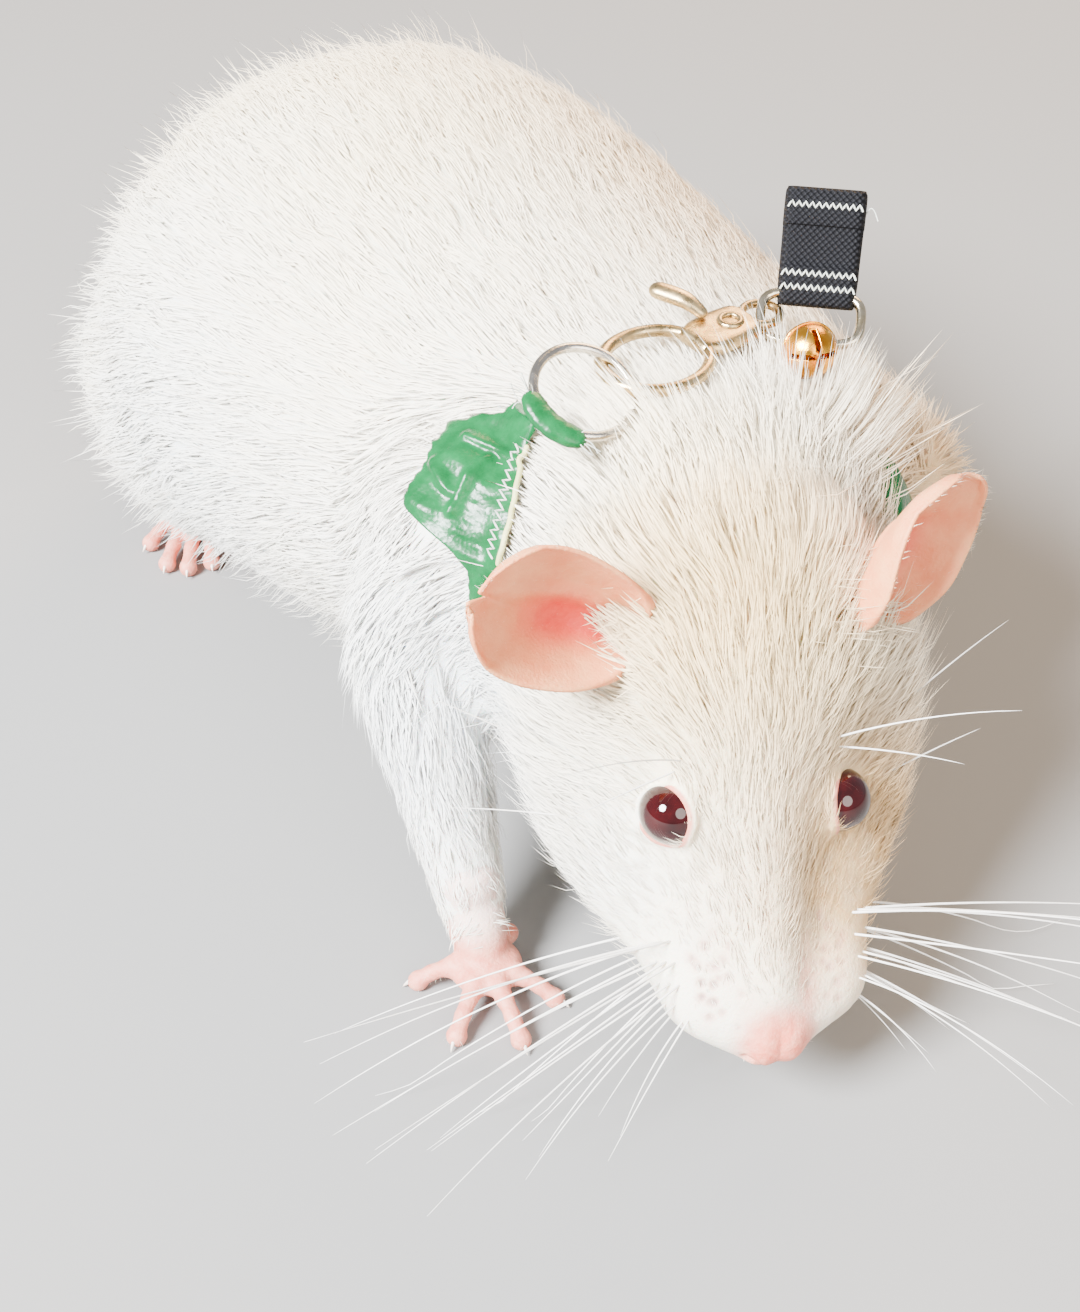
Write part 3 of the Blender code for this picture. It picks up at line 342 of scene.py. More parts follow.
def shell(name, front, back):
    """A closed sheet between two grids of points."""
    n, m = front.shape[:2]
    faces = []
    for offset, turned in ((0, False), (n * m, True)):
        for i in range(n - 1):
            for j in range(m - 1):
                a = offset + i * m + j
                quad = (a, a + 1, a + m + 1, a + m)
                faces.append(quad[::-1] if turned else quad)
    border = [(0, j) for j in range(m)] + [(i, m - 1) for i in range(1, n)]
    border += [(n - 1, j) for j in range(m - 2, -1, -1)] + [(i, 0) for i in range(n - 2, 0, -1)]
    for here, there in zip(border, border[1:] + border[:1]):
        a, b = here[0] * m + here[1], there[0] * m + there[1]
        faces.append((a, b, b + n * m, a + n * m))
    return closed_object(name, np.vstack((front.reshape(-1, 3), back.reshape(-1, 3))), faces)


# %% Tubes and balls
ROUND_START = ((-0.98, 0.2), (-0.8, 0.6), (-0.45, 0.89), (0.0, 1.0))
ROUND_END = ((0.0, 1.0), (0.45, 0.89), (0.8, 0.6), (0.98, 0.2))


def tube_rings(rows, sides=12, up=(0.0, 0.0, 1.0), round_ends=True, squash=1.0):
    """Rings round a path of x, y, z, radius rows."""
    rows = np.asarray(rows, dtype=float)
    ahead = unit(np.gradient(rows[:, :3], axis=0))
    side = unit(np.cross(ahead, np.array(up, dtype=float)))
    top = np.cross(side, ahead)
    turns = 2 * np.pi * (np.arange(sides) + 0.5) / sides
    rings = []
    last = len(rows) - 1
    for i, row in enumerate(rows):
        caps = ((0.0, 1.0),)
        if round_ends and i in (0, last):
            caps = ROUND_END if i else ROUND_START
        for along, wide in caps:
            centre = row[:3] + ahead[i] * along * row[3]
            spread = np.outer(np.cos(turns), side[i]) + np.outer(np.sin(turns), top[i]) * squash
            rings.append(centre + spread * wide * row[3])
    return rings


def tube(name, rows, per_span=4, **more):
    """A closed tube on a smooth curve through the rows."""
    return loft(name, tube_rings(catmull(rows, per_span) if per_span > 1 else rows, **more))


def ball(name, centre, radii, matrix=None, segments=32):
    """An ellipsoid, in a frame of its own if a matrix is given."""
    bm = bmesh.new()
    bmesh.ops.create_uvsphere(bm, u_segments=segments, v_segments=segments // 2, radius=1.0)
    place = Matrix.Translation(Vector(centre)) @ Matrix.Diagonal((*radii, 1.0))
    bmesh.ops.transform(bm, matrix=(matrix or Matrix()) @ place, verts=bm.verts)
    return from_bmesh(name, bm)


# %% Joining and wrapping
def remove(made):
    mesh = made.data
    bpy.data.objects.remove(made)
    bpy.data.meshes.remove(mesh)


def bake(made):
    """Replace an object's mesh by what its modifiers make of it."""
    graph = bpy.context.evaluated_depsgraph_get()
    mesh = bpy.data.meshes.new_from_object(made.evaluated_get(graph))
    old = made.data
    made.modifiers.clear()
    made.data = mesh
    bpy.data.meshes.remove(old)
    return made


def joined(name, parts):
    """Put several objects' meshes into one object, and remove them."""
    bm = bmesh.new()
    for part in parts:
        bm.from_mesh(part.data)
        remove(part)
    return from_bmesh(name, bm)


def fused(name, parts, voxel, rounds):
    """Wrap overlapping closed parts in one even skin and soften it."""
    made = joined(name, parts)
    wrap = made.modifiers.new("Remesh", "REMESH")
    wrap.mode = "VOXEL"
    wrap.voxel_size = voxel
    soften = made.modifiers.new("Smooth", "SMOOTH")
    soften.factor = 0.5
    soften.iterations = rounds
    return bake(made)


# %% Points and marks
def read(items, key, width, kind=np.float32):
    """A table of what every item says of itself, with so many columns."""
    values = np.empty(len(items) * width, dtype=kind)
    items.foreach_get(key, values)
    return values.reshape(-1, width)


def get_points(made):
    return read(made.data.vertices, "co", 3).astype(float)


def set_points(made, points):
    made.data.vertices.foreach_set("co", points.astype(np.float32).ravel())
    made.data.update()


def get_normals(made):
    return read(made.data.vertex_normals, "vector", 3).astype(float)


def above_floor(made):
    """Lift what lies under the floor up to it."""
    points = get_points(made)
    points[:, 2] = np.maximum(points[:, 2], 0.0)
    set_points(made, points)


def search_tree(made):
    """A mesh prepared for finding its nearest point or where a ray meets it."""
    points = [tuple(p) for p in get_points(made)]
    return BVHTree.FromPolygons(points, [tuple(face.vertices) for face in made.data.polygons])


def set_attribute(made, name, values):
    """Mark each point with a value that a finish can read."""
    layer = made.data.attributes.get(name) or made.data.attributes.new(name, "FLOAT", "POINT")
    layer.data.foreach_set("value", np.asarray(values, dtype=np.float32))


# %% Settling a piece
def settle(made, slot, look, *replaced):
    """Scale a finished piece to metres, give it its finish and let it ride; its slot is not used."""
    above_floor(made)
    made.data.transform(Matrix.Scale(MM, 4) @ Matrix.Translation(-MIDDLE))
    made.data.materials.clear()
    made.data.materials.append(look)
    made.data.shade_smooth()
    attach(made, "root")
    if replaced:
        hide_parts(*replaced)
    made.data.calc_loop_triangles()
    print(made.name, len(made.data.loop_triangles), "triangles")


# %% [markdown]
# ## The body's outer shape
# The solids were lofted from cross-sections of trunk and head, balls for the thighs and tapering
# tubes for the arms. The same sections are lofted again here, finer, and wrapped in one even skin.
# Hair tips lie on that surface, so its parts are kept to set the harness on.

# %% Cross-sections
TRUNK = (
    (13.0, 104.0, 29.0, 21.0, 11.0, 7.0), (13.0, 99.0, 43.0, 26.0, 6.0, 21.0),
    (12.0, 87.0, 60.0, 29.0, 2.5, 33.0), (11.0, 70.0, 72.0, 32.0, 2.0, 40.0),
    (11.0, 50.0, 75.0, 33.0, 2.0, 41.0), (11.5, 32.0, 73.0, 34.0, 4.0, 39.5),
    (12.0, 14.0, 69.0, 35.0, 7.0, 37.0), (11.0, -4.0, 66.0, 36.0, 10.0, 34.0),
    (9.0, -18.0, 64.0, 38.0, 13.0, 31.0), (4.0, -30.0, 61.0, 40.0, 18.0, 25.0),
    (-1.0, -40.0, 57.0, 42.0, 24.0, 17.0),
)
HEAD = (
    (-27.0, -6.4, -8.0, -10.0, 1.8, 2.0, 2.0), (-25.8, -5.0, -8.4, -12.0, 3.6, 2.0, 2.0),
    (-23.0, -3.9, -9.0, -13.8, 7.0, 1.8, 2.2), (-19.0, -2.8, -9.6, -15.0, 10.4, 1.6, 2.4),
    (-14.0, -1.4, -10.0, -16.0, 13.6, 1.5, 2.4), (-8.0, 0.8, -10.4, -17.2, 16.8, 1.5, 2.3),
    (0.0, 3.4, -10.6, -18.8, 19.8, 1.5, 2.2), (8.0, 6.2, -10.0, -20.0, 21.2, 1.6, 2.1),
    (16.0, 8.2, -8.4, -20.0, 20.8, 1.8, 2.0), (24.0, 8.8, -6.0, -18.0, 18.2, 2.0, 2.0),
    (31.0, 7.0, -5.0, -15.0, 13.0, 2.0, 2.0),
)
RIGHT_ARM = (
    (-13.0, -4.0, 45.0, 13.0), (-22.5, -5.0, 33.0, 9.0), (-25.5, -13.5, 21.0, 6.2), (-27.0, -21.5, 8.0, 4.4),
)
LEFT_ARM = (
    (30.0, -18.0, 41.0, 13.5), (33.0, -11.0, 30.0, 9.0), (27.0, -15.0, 19.0, 6.2), (21.5, -19.5, 8.0, 4.4),
)
THIGHS = ((-9.0, 66.0, 28.0), (31.0, 66.0, 28.0))
THIGH_RADII = (22.0, 30.0, 25.0)
RING_POINTS = 56
BODY_VOXEL = 1.0


def outline(middle_x, top, level, bottom, half, roof=2.1, floor=2.1):
    """A closed outline as x, z pairs, half as wide as stated at its widest level."""
    angle = 2 * np.pi * np.arange(RING_POINTS) / RING_POINTS
    c, s = np.cos(angle), np.sin(angle)
    power = np.where(s > 0, 2 / roof, 2 / floor)
    height = np.where(s > 0, top - level, level - bottom)
    x = middle_x + half * np.sign(c) * np.abs(c) ** power
    return x, level + height * np.sign(s) * np.abs(s) ** power


def trunk_loft():
    """The trunk through rows of middle x, y, top, widest level, bottom and half width."""
    rings = []
    for middle, y, top, level, bottom, half in catmull(TRUNK, 8):
        x, z = outline(middle, top, level, bottom, half)
        rings.append(np.stack((x, np.full_like(x, y), z), axis=1))
    return loft("trunk", rings)


def head_loft():
    """The head through rows of y, top, widest level, bottom, half width and two powers."""
    rings = []
    for y, top, level, bottom, half, roof, floor_power in catmull(HEAD, 6):
        x, z = outline(0.0, top, level, bottom, half, roof, floor_power)
        rings.append(head_to_body(np.stack((x, np.full_like(x, y), z), axis=1)))
    return loft("head", rings)


# %% Outer shape
body_parts = {"trunk": trunk_loft(), "head": head_loft()}
body_parts["right_arm"] = tube("right_arm", RIGHT_ARM, sides=28)
body_parts["left_arm"] = tube("left_arm", LEFT_ARM, sides=28)
for side_name, centre in zip(("right_thigh", "left_thigh"), THIGHS):
    body_parts[side_name] = ball(side_name, centre, THIGH_RADII)
part_trees = {name: search_tree(part) for name, part in body_parts.items()}
body = fused("rat_skin", list(body_parts.values()), BODY_VOXEL, 6)
print("outer shape:", len(body.data.polygons), "faces")


# %% [markdown]
# ## Which part a point belongs to
# Hair length, its lie and the skin's depth all change from face to flank to paw. Each point gets a
# weight for each part, by how close it is to that part's own surface, so the changes are gradual.

# %% Weights of the parts
REGION_SOFTNESS = 1.6


def part_weights(points):
    """One column of weights for each part in the order of part_trees."""
    apart = np.empty((len(points), len(part_trees)))
    for column, search in enumerate(part_trees.values()):
        for i, point in enumerate(points):
            apart[i, column] = search.find_nearest(point)[3]
    nearest = apart.min(axis=1, keepdims=True)
    weights = np.exp(-(apart - nearest) / REGION_SOFTNESS)
    return weights / weights.sum(axis=1, keepdims=True)


def coat_depth(points, weights):
    """How far the skin lies under the hair tips: least at the nose and paws, most on the trunk."""
    back = body_to_head(points)[:, 1]
    on_head = weights[:, 1]
    head_depth = 0.3 + 0.5 * smoothstep(back, -26.0, -6.0) + 0.7 * smoothstep(back, 2.0, 18.0)
    arm = weights[:, 2] + weights[:, 3]
    arm_depth = 0.4 + 0.9 * smoothstep(points[:, 2], 8.0, 36.0)
    trunk_depth = 1.8 - 0.6 * smoothstep(points[:, 1], 92.0, 104.0)
    rest = np.clip(1 - on_head - arm, 0, 1)
    return on_head * head_depth + arm * arm_depth + rest * trunk_depth


# %% Skin inside the coat
points = get_points(body)
weights = part_weights(points)
depth = coat_depth(points, weights)
points = points - get_normals(body) * depth[:, None]
set_points(body, points)
print("skin lies", round(depth.min(), 2), "to", round(depth.max(), 2), "mm inside the tips")


# %% [markdown]
# ## Finer mesh where the face needs it
# Lids, nostrils and lips are thinner than the skin's even mesh. Splitting the faces in front twice
# over, and softening after each split, gives points enough to model them by moving points.

# %% Finer face
def refine(made, chosen, rounds=2):
    """Split the edges among chosen points once and soften them."""
    bm = bmesh.new()
    bm.from_mesh(made.data)
    bm.verts.ensure_lookup_table()
    edges = [e for e in bm.edges if chosen[e.verts[0].index] and chosen[e.verts[1].index]]
    split = bmesh.ops.subdivide_edges(bm, edges=edges, cuts=1, use_grid_fill=True)
    many = [face for face in bm.faces if len(face.verts) > 4]
    bmesh.ops.triangulate(bm, faces=many)
    fresh = [item for item in split["geom_inner"] if isinstance(item, bmesh.types.BMVert)]
    near = list({other for vert in fresh for edge in vert.link_edges for other in edge.verts})
    for _ in range(rounds):
        bmesh.ops.smooth_vert(bm, verts=near, factor=0.35, use_axis_x=True, use_axis_y=True, use_axis_z=True)
    bm.to_mesh(made.data)
    bm.free()


FACE_BACK, FACE_HALF, FACE_BOTTOM = 7.0, 24, -26
NOSE_BACK, EYE_REACH = -16.5, 7.4


def near_eyes(face, reach):
    """Which points of the head's frame lie round an eye."""
    mirrored = np.abs(face[:, :1])
    socket = np.array(EYE_AT + EYE_AXIS * 2.0)
    return np.linalg.norm(np.hstack((mirrored, face[:, 1:])) - socket, axis=1) < reach


face = body_to_head(get_points(body))
in_front = (face[:, 1] < FACE_BACK) & (np.abs(face[:, 0]) < FACE_HALF)
refine(body, in_front & (face[:, 2] > FACE_BOTTOM) & (weights[:, 1] > 0.3))
face = body_to_head(get_points(body))
refine(body, (face[:, 1] < NOSE_BACK) | near_eyes(face, EYE_REACH))
print("skin with a finer face:", len(body.data.polygons), "faces")


# %% [markdown]
# ## Modelling the face
# A rat's face is a wedge with soft pads: full whisker pads beside the nose, a groove down between
# the nose's two pink lobes, comma-shaped nostrils, a mouth line under the pads, a ridge along the
# nose's bridge and brows over the eyes. Each form is a soft bump or groove that pushes points along
# the skin's normal. The left pad is the fuller one, and small pits mark where the whiskers grow.

# %% Face forms
def to_segment(points, start, end):
    """How far each point is from a straight stretch."""
    along = np.clip(((points - start) @ (end - start)) / np.sum((end - start) ** 2), 0, 1)
    return np.linalg.norm(points - start - along[:, None] * (end - start), axis=1)


def groove(points, path, width):
    """1 along a path of points and dying out over a width."""
    path = np.array(path, dtype=float)
    closest = np.full(len(points), 1e9)
    for start, end in zip(path, path[1:]):
        closest = np.minimum(closest, to_segment(points, start, end))
    return hump(closest, width)


MOUTH = (
    (14.0, -11.0, -15.4), (11.6, -15.0, -14.8), (8.6, -19.5, -13.8), (3.5, -23.5, -12.4), (0.0, -24.8, -11.9),
)
PHILTRUM = (
    (0.0, -23.4, -3.4), (0.0, -26.0, -4.9), (0.0, -27.6, -6.0), (0.0, -28.5, -7.2), (0.0, -27.6, -9.2),
    (0.0, -25.4, -11.4), (0.0, -24.4, -12.6),
)
NOSTRIL = ((1.5, -27.2, -7.9), (2.3, -26.4, -7.2), (2.9, -25.6, -7.5))
PADS_AND_NOSE = (
    (0.75, (7.6, -19.0, -10.6), (4.2, 5.0, 3.6)), (0.55, (3.2, -24.0, -10.6), (2.6, 2.6, 2.4)),
    (0.6, (1.8, -26.4, -7.4), (1.6, 1.9, 2.2)), (0.35, (1.7, -24.6, -4.8), (1.4, 2.2, 1.5)),
    (0.6, (8.2, 4.6, 3.6), (5.0, 6.0, 3.5)),
)
CHEEKS = (
    (-0.7, (9.8, -8.5, -3.2), (4.5, 5.0, 4.0)), (-0.5, (16.5, 6.0, -1.0), (4.0, 7.0, 4.0)),
    (0.8, (15.0, -3.0, -12.0), (6.0, 7.0, 5.0)),
)
LEFT_PAD = (1.1, (9.5, -19.5, -8.0), (4.0, 6.0, 5.5))
RIGHT_PAD = (-0.5, (-10.5, -13.0, -8.0), (4.0, 6.0, 5.0))
RIDGE_HEIGHT, RIDGE_WIDTH = 0.75, 2.6
FOLLICLE_ROWS, FOLLICLE_COLUMNS = 4, 5
PIT_DEPTH, PIT_WIDTH = 0.3, 0.5


def form(points, row):
    """One bump or hollow from a row of height, centre and radii."""
    return row[0] * swell(points, *row[1:])


# %% Shaping the face
points = get_points(body)
face = body_to_head(points)
mirrored = np.hstack((np.abs(face[:, :1]), face[:, 1:]))
is_face = smoothstep(-face[:, 1], -16.0, -9.0)
push = np.zeros(len(points))
for row in PADS_AND_NOSE:
    push += form(mirrored, row)
ridge = RIDGE_HEIGHT * hump(mirrored[:, 0], RIDGE_WIDTH)
push += ridge * smoothstep(face[:, 1], -24.0, -18.0) * smoothstep(-face[:, 1], -2.0, 6.0)
push += form(mirrored, (-0.6, (5.4, -13.0, 0.0), (2.6, 8.0, 6.0)))
push += form(mirrored, (0.9, (8.4, -21.5, -8.5), (4.0, 5.0, 4.4)))
push += form(face, LEFT_PAD) + form(face, RIGHT_PAD)
for row in CHEEKS:
    push += form(mirrored, row)
push -= 0.75 * groove(mirrored, MOUTH, 0.55)
push -= 0.85 * groove(mirrored, PHILTRUM, 0.5)
push += form(mirrored, (0.35, (3.0, -22.0, -14.2), (5.0, 3.0, 1.4)))
push -= 1.1 * groove(mirrored, NOSTRIL, 0.42)

# %% Pits of the whiskers
dice = np.random.default_rng(3)
follicles = []
for row in range(FOLLICLE_ROWS):
    for column in range(FOLLICLE_COLUMNS):
        across = 8.8 - 1.25 * row + dice.normal() * 0.5
        follicles.append((across, -14.0 - 1.9 * column + dice.normal() * 0.7, -2.6 - 0.45 * column))
smooth_face = search_tree(body)
pit = np.zeros(len(points))
for side in (-1, 1):
    for spot in follicles:
        nearest = np.array(smooth_face.find_nearest(HEAD_FRAME @ Vector((spot[0] * side, *spot[1:])))[0])
        depth = dice.uniform(0.3, 1.0) * (1.0 if side < 0 else 0.6)
        pit = np.maximum(pit, depth * hump(np.linalg.norm(points - nearest, axis=1), PIT_WIDTH))
push -= PIT_DEPTH * pit
points += get_normals(body) * (push * is_face)[:, None]
set_points(body, points)
print("deepest groove of the face:", round(float(push.min()), 2), "mm")


# %% [markdown]
# ## Lids
# The eyeball bulges out of the head, and the lids hug it. Round each eye the skin is described by
# its angle from the eye's axis: inside the rim it dives behind the ball, at the rim it makes a thin
# pink edge, and further out it runs into the face. The rim is drawn out towards the nose, and the
# left eye is opened a little wider, as the photo shows it.

# %% Lids
LID_REACH, PINK_REACH = 14, 5.0
BALL_CLEARANCE = 0.8
RIM_ANGLE = 61.0
RIM_CORNER = 19.0
RIM_BACK_CORNER = 5.0
LEFT_WIDER = 12.0
LID_EDGE = 0.28
LID_FALL = 34.0


def rim_angle(around):
    """The rim's angle from the axis, in degrees; around is 0 towards the nose."""
    return (RIM_ANGLE + RIM_CORNER * np.maximum(np.cos(around), 0) ** 7
            + RIM_BACK_CORNER * np.maximum(-np.cos(around), 0) ** 5)


def eye_angles(points, side):
    """Distance from the eye's centre, angle from its axis and angle round it, in degrees."""
    mirror = np.array((side, 1.0, 1.0))
    apart = (points - np.array(eye_centre(side))) @ HEAD_AXES * mirror
    axis = np.array(EYE_AXIS)
    to_nose = unit(np.array((-0.25, -1.0, -0.3)) - axis * np.dot((-0.25, -1.0, -0.3), axis))
    across = np.cross(axis, to_nose)
    radius = np.linalg.norm(apart, axis=1)
    from_axis = np.degrees(np.arccos(np.clip(apart @ axis / radius, -1, 1)))
    return radius, from_axis, np.arctan2(apart @ across, apart @ to_nose)


# %% Two eyes
points = get_points(body)
lid_pink = np.zeros(len(points))
for side in (-1, 1):
    radius, from_axis, around = eye_angles(points, side)
    rim = rim_angle(around) + max(side, 0) * LEFT_WIDER
    hug = (1 - smoothstep(from_axis, rim + 3.0, rim + LID_FALL)) * (1 - smoothstep(radius, 7.0, 12.0))
    inside = 1 - smoothstep(from_axis, rim - 7.0, rim - 1.0)
    lid = EYE_RADIUS + LID_EDGE + 0.3 * smoothstep(from_axis, rim, rim + 10.0)
    target = lid * (1 - inside) + (EYE_RADIUS - BALL_CLEARANCE) * inside
    near = (radius < LID_REACH) & (hug > 0)
    wanted = np.where(near, radius + (target - radius) * hug, radius)
    centre = np.array(eye_centre(side))
    points = centre + (points - centre) * (wanted / radius)[:, None]
    pink_rim = 1 - smoothstep(from_axis, rim + 0.5, rim + 6.0)
    lid_pink = np.maximum(lid_pink, np.where(near & (radius < PINK_REACH), pink_rim, 0))
set_points(body, points)
print("points on the lids' rims:", int((lid_pink > 0.5).sum()))


# %% [markdown]
# ## Ears
# A rat's ear is a thin round shell on a rolled stalk. It is a grid of points in the ear's own
# directions: along it, across it, and towards the side that it faces. The right ear shows its cup,
# with a nick in the outer edge and a fold running in from it; the left is seen edge on.

# %% Ears
EAR_ROOT = Vector((14.0, 20.4, 2.0))
EAR_LENGTHS = {"ear_right": 18.8, "ear_left": 15.6}
EAR_HALF_WIDTH = 8.1
EAR_THICKNESS = 0.75
EARS = {
    "ear_right": ((-0.76, 0.17, 0.62), (0.3, -0.55, 0.78)),
    "ear_left": ((0.46, 0.59, 0.66), (0.5, -0.6, 0.62)),
}
EAR_SINK = 3.0
EAR_STEPS = 56


def make_ear(name, side):
    """One ear, and how red each of its points is inside the cup, partly its own colour and partly painted
    shade in the hollow.
    """
    along, facing = (Vector(v).normalized() for v in EARS[name])
    facing = (facing - along * facing.dot(along)).normalized()
    across = np.array(along.cross(facing))
    along, facing = np.array(along), np.array(facing)
    root = np.array((EAR_ROOT.x * side, EAR_ROOT.y, EAR_ROOT.z)) - along * EAR_SINK
    u, v = np.meshgrid(np.linspace(0, 1, EAR_STEPS), np.linspace(-1, 1, EAR_STEPS), indexing="ij")
    reach = np.where(u < 0.58, 0.62, 0.435)
    half = EAR_HALF_WIDTH * np.sqrt(np.maximum(1 - ((u - 0.58) / reach) ** 2, 0.02))
    outer = v * side
    notch = hump(outer - 0.08, 0.13) * (side == -1)
    cup = 1.05 - 0.78 * np.minimum(u / 0.8, 1.0)
    lift = cup * half * v * v - 1.2 * np.sin(np.pi * u)
    low_part = smoothstep(u, 0.1, 0.3)
    lift -= 1.1 * hump(outer - 0.22, 0.4) * low_part * (1 - smoothstep(u, 0.45, 0.72))
    fold = hump(outer - 0.08 - 0.15 * (1 - u), 0.12) * smoothstep(u, 0.4, 0.9)
    ridge = hump(outer + 0.30 - 0.25 * (u - 0.3), 0.15) * low_part * (1 - smoothstep(u, 0.55, 0.85))
    rim_curl = smoothstep(np.maximum(np.abs(v), (u - 0.55) / 0.45), 0.86, 1.0)
    lift += 1.0 * ridge + 0.6 * rim_curl * smoothstep(u, 0.15, 0.4) - 0.75 * fold * (side == -1)
    inward = half * v * (1 - 0.3 * cup * v * v)
    reach = u * (EAR_LENGTHS[name] + EAR_SINK) - 1.9 * notch * smoothstep(u, 0.72, 1.0)
    reach += 0.9 * hump(outer - 0.42, 0.2) * smoothstep(u, 0.7, 1.0) * (side == -1)
    middle = root + reach[..., None] * along + inward[..., None] * across + lift[..., None] * facing
    normal = unit(np.cross(np.gradient(middle, axis=0), np.gradient(middle, axis=1)))
    normal *= np.sign(np.sum(normal * facing, axis=-1, keepdims=True))
    edge = np.maximum(np.abs(v), u)
    thin_edge = EAR_THICKNESS / 2 * (1 - 0.55 * smoothstep(edge, 0.8, 1.0))
    thick = (thin_edge + 0.5 * (1 - smoothstep(u, 0.0, 0.3)))[..., None]
    front, back = (head_to_body(middle + normal * thick * turned) for turned in (1, -1))
    made = shell(name, front, back)
    # Deep red towards the cup's root: partly the ear's own blood colour and partly painted shade in the
    # hollow.
    deep = (1 - smoothstep(np.abs(outer - 0.12), 0.15, 0.62)) * (1 - smoothstep(u, 0.36, 0.74))
    cup_red_and_shade = np.concatenate((deep.ravel(), np.zeros(deep.size)))
    return made, cup_red_and_shade


ear_parts = {name: make_ear(name, side) for side, name in ((-1, "ear_right"), (1, "ear_left"))}
print("ears:", {name: len(made.data.polygons) for name, (made, cup_red_and_shade) in ear_parts.items()})


# %% [markdown]
# ## Paws and feet
# A forepaw has four slim fingers with bulging joints and soft pads, and a mere nub of a thumb; a
# hind foot is long, with five toes. Overlapping tubes and balls are wrapped in one fine skin, which
# webs the digits at their roots as real skin does, and the claws stay pieces of their own.

# %% Paws and feet
FOREPAWS = {
    "right": (
        (-27.0, -21.5, 8.5), (-28.3, -26.5, 2.6), ((-8.0, 4.4), (-8.8, -6.6), (-2.2, -11.8), (5.4, -8.4)),
    ),
    "left": (
        (21.5, -19.5, 8.5), (21.0, -25.0, 2.6), ((8.4, -2.2), (5.8, -9.6), (-1.4, -11.6), (-7.6, -6.8)),
    ),
}
THUMBS = {"right": (5.6, 3.0), "left": (-5.6, 3.0)}
HIND_FEET = {"right": (Vector((-1.8, 95.4, 0.0)), -34.0, -1), "left": (Vector((22.0, 99.0, 0.0)), 22.0, 1)}
TOE_REACHES = (30.5, 36.0, 37.0, 35.5, 29.5)
PAW_VOXEL = 0.36
THUMB_RADII = (1.9, 1.5, 1.3)
FINGER_RADIUS, TOE_RADIUS = 1.15, 1.25
DIGIT_BULGES = ((0.0, 1.1), (0.22, 0.88), (0.4, 1.0), (0.55, 0.8), (0.7, 0.92), (0.82, 0.82), (1.0, 0.98))
claw_parts = []


def make_claw(root, way, thickness, length=2.0):
    """A curved, pointed nail that starts inside the digit."""
    rows = []
    for t in np.linspace(0, 1, 8):
        spot = root + way * (length * t - 0.8) + Vector((0, 0, 0.25 * math.sin(math.pi * t) - 0.45 * t * t))
        rows.append((*spot, thickness * (1 - t) ** 0.8 + 0.04))
    claw_parts.append(loft("claw", tube_rings(rows, sides=8, round_ends=False, squash=1.25)))


def make_digit(start, end, radius, lift):
    """A digit whose joints bulge, with a pad under its tip and its claw."""
    start, end = Vector(start), Vector(end)
    rows = []
    for t, scale in DIGIT_BULGES:
        spot = start.lerp(end, t) + Vector((0, 0, lift * math.sin(math.pi * t)))
        rows.append((*spot, radius * scale))
    way = (end - start).normalized()
    make_claw(end + way * radius * 0.6, way, radius * 0.36)
    pad = ball("pad", end + Vector((0, 0, -0.15)), (radius * 1.12,) * 3, segments=16)
    return [tube("digit", rows, per_span=3, sides=14), pad]


# %% Forepaw and hind foot
def make_forepaw(side):
    """Wrist, palm, four fingers with their knuckles, and the thumb, in one skin."""
    wrist, pad, tips = FOREPAWS[side]
    pieces = [ball("palm", pad, (4.3, 4.2, 2.2))]
    top = (wrist[0], wrist[1] + 0.6, wrist[2] + 2.6, 3.7)
    middle = (*(Vector(wrist).lerp(Vector(pad), 0.55)), 3.3)
    pieces.append(tube("wrist", [top, (*wrist, 3.6), middle, (*pad, 2.5)], sides=20))
    for x, y in tips:
        way = Vector((x, y, 0.0))
        start = Vector(pad) + way.normalized() * 2.4
        end = Vector((pad[0] + x * 0.86, pad[1] + y * 0.86, 0.95))
        pieces += make_digit(start, end, FINGER_RADIUS, 0.7)
        knuckle_at = Vector(pad) + way.normalized() * 3.6 + Vector((0, 0, 0.2))
        pieces.append(ball("knuckle", knuckle_at, (1.5,) * 3, segments=16))
    x, y = THUMBS[side]
    pieces.append(ball("thumb", (pad[0] + x * 0.8, pad[1] + y, 2.4), THUMB_RADII, segments=16))
    return fused("forepaw_" + side, pieces, PAW_VOXEL, 4)


def make_hind_foot(side):
    """Sole, pad and five toes, in one skin."""
    heel, turn, out = HIND_FEET[side]
    place = Matrix.Translation(heel) @ Matrix.Rotation(math.radians(turn), 4, "Z")
    rows = ((0.0, 0.0, 4.2, 3.4), (0.0, -8.0, 3.4, 3.1), (0.0, -17.0, 2.9, 3.0), (0.0, -23.0, 2.6, 3.2))
    pieces = [tube("sole", [(*(place @ Vector(row[:3])), row[3]) for row in rows], sides=20)]
    pieces.append(ball("pad", (0.0, -22.5, 2.2), (4.6, 4.0, 2.3), place))
    for k, reach in enumerate(TOE_REACHES):
        spread = out * (k - 2)
        start = place @ Vector((spread * -1.6, -23.0, 2.0))
        end = place @ Vector((spread * -3.3, -reach + 2.2, 1.15))
        pieces += make_digit(start, end, TOE_RADIUS, 0.6)
    return fused("hind_foot_" + side, pieces, PAW_VOXEL, 4)


# %% All four feet
paw_parts = {}
for side in ("right", "left"):
    paw_parts["forepaw_" + side] = make_forepaw(side)
    paw_parts["hind_foot_" + side] = make_hind_foot(side)
for made in paw_parts.values():
    above_floor(made)
print("paws:", {name: len(made.data.polygons) for name, made in paw_parts.items()}, "claws:", len(claw_parts))


# %% [markdown]
# ## Tail
# The tail tapers from the rump to a blunt tip and lies on the floor. Its skin is a row of narrow
# overlapping rings of scales, so the loft's radius rises slowly and drops sharply at each ring.
# The first stretch may hang clear of the floor, and the rest rests on it.

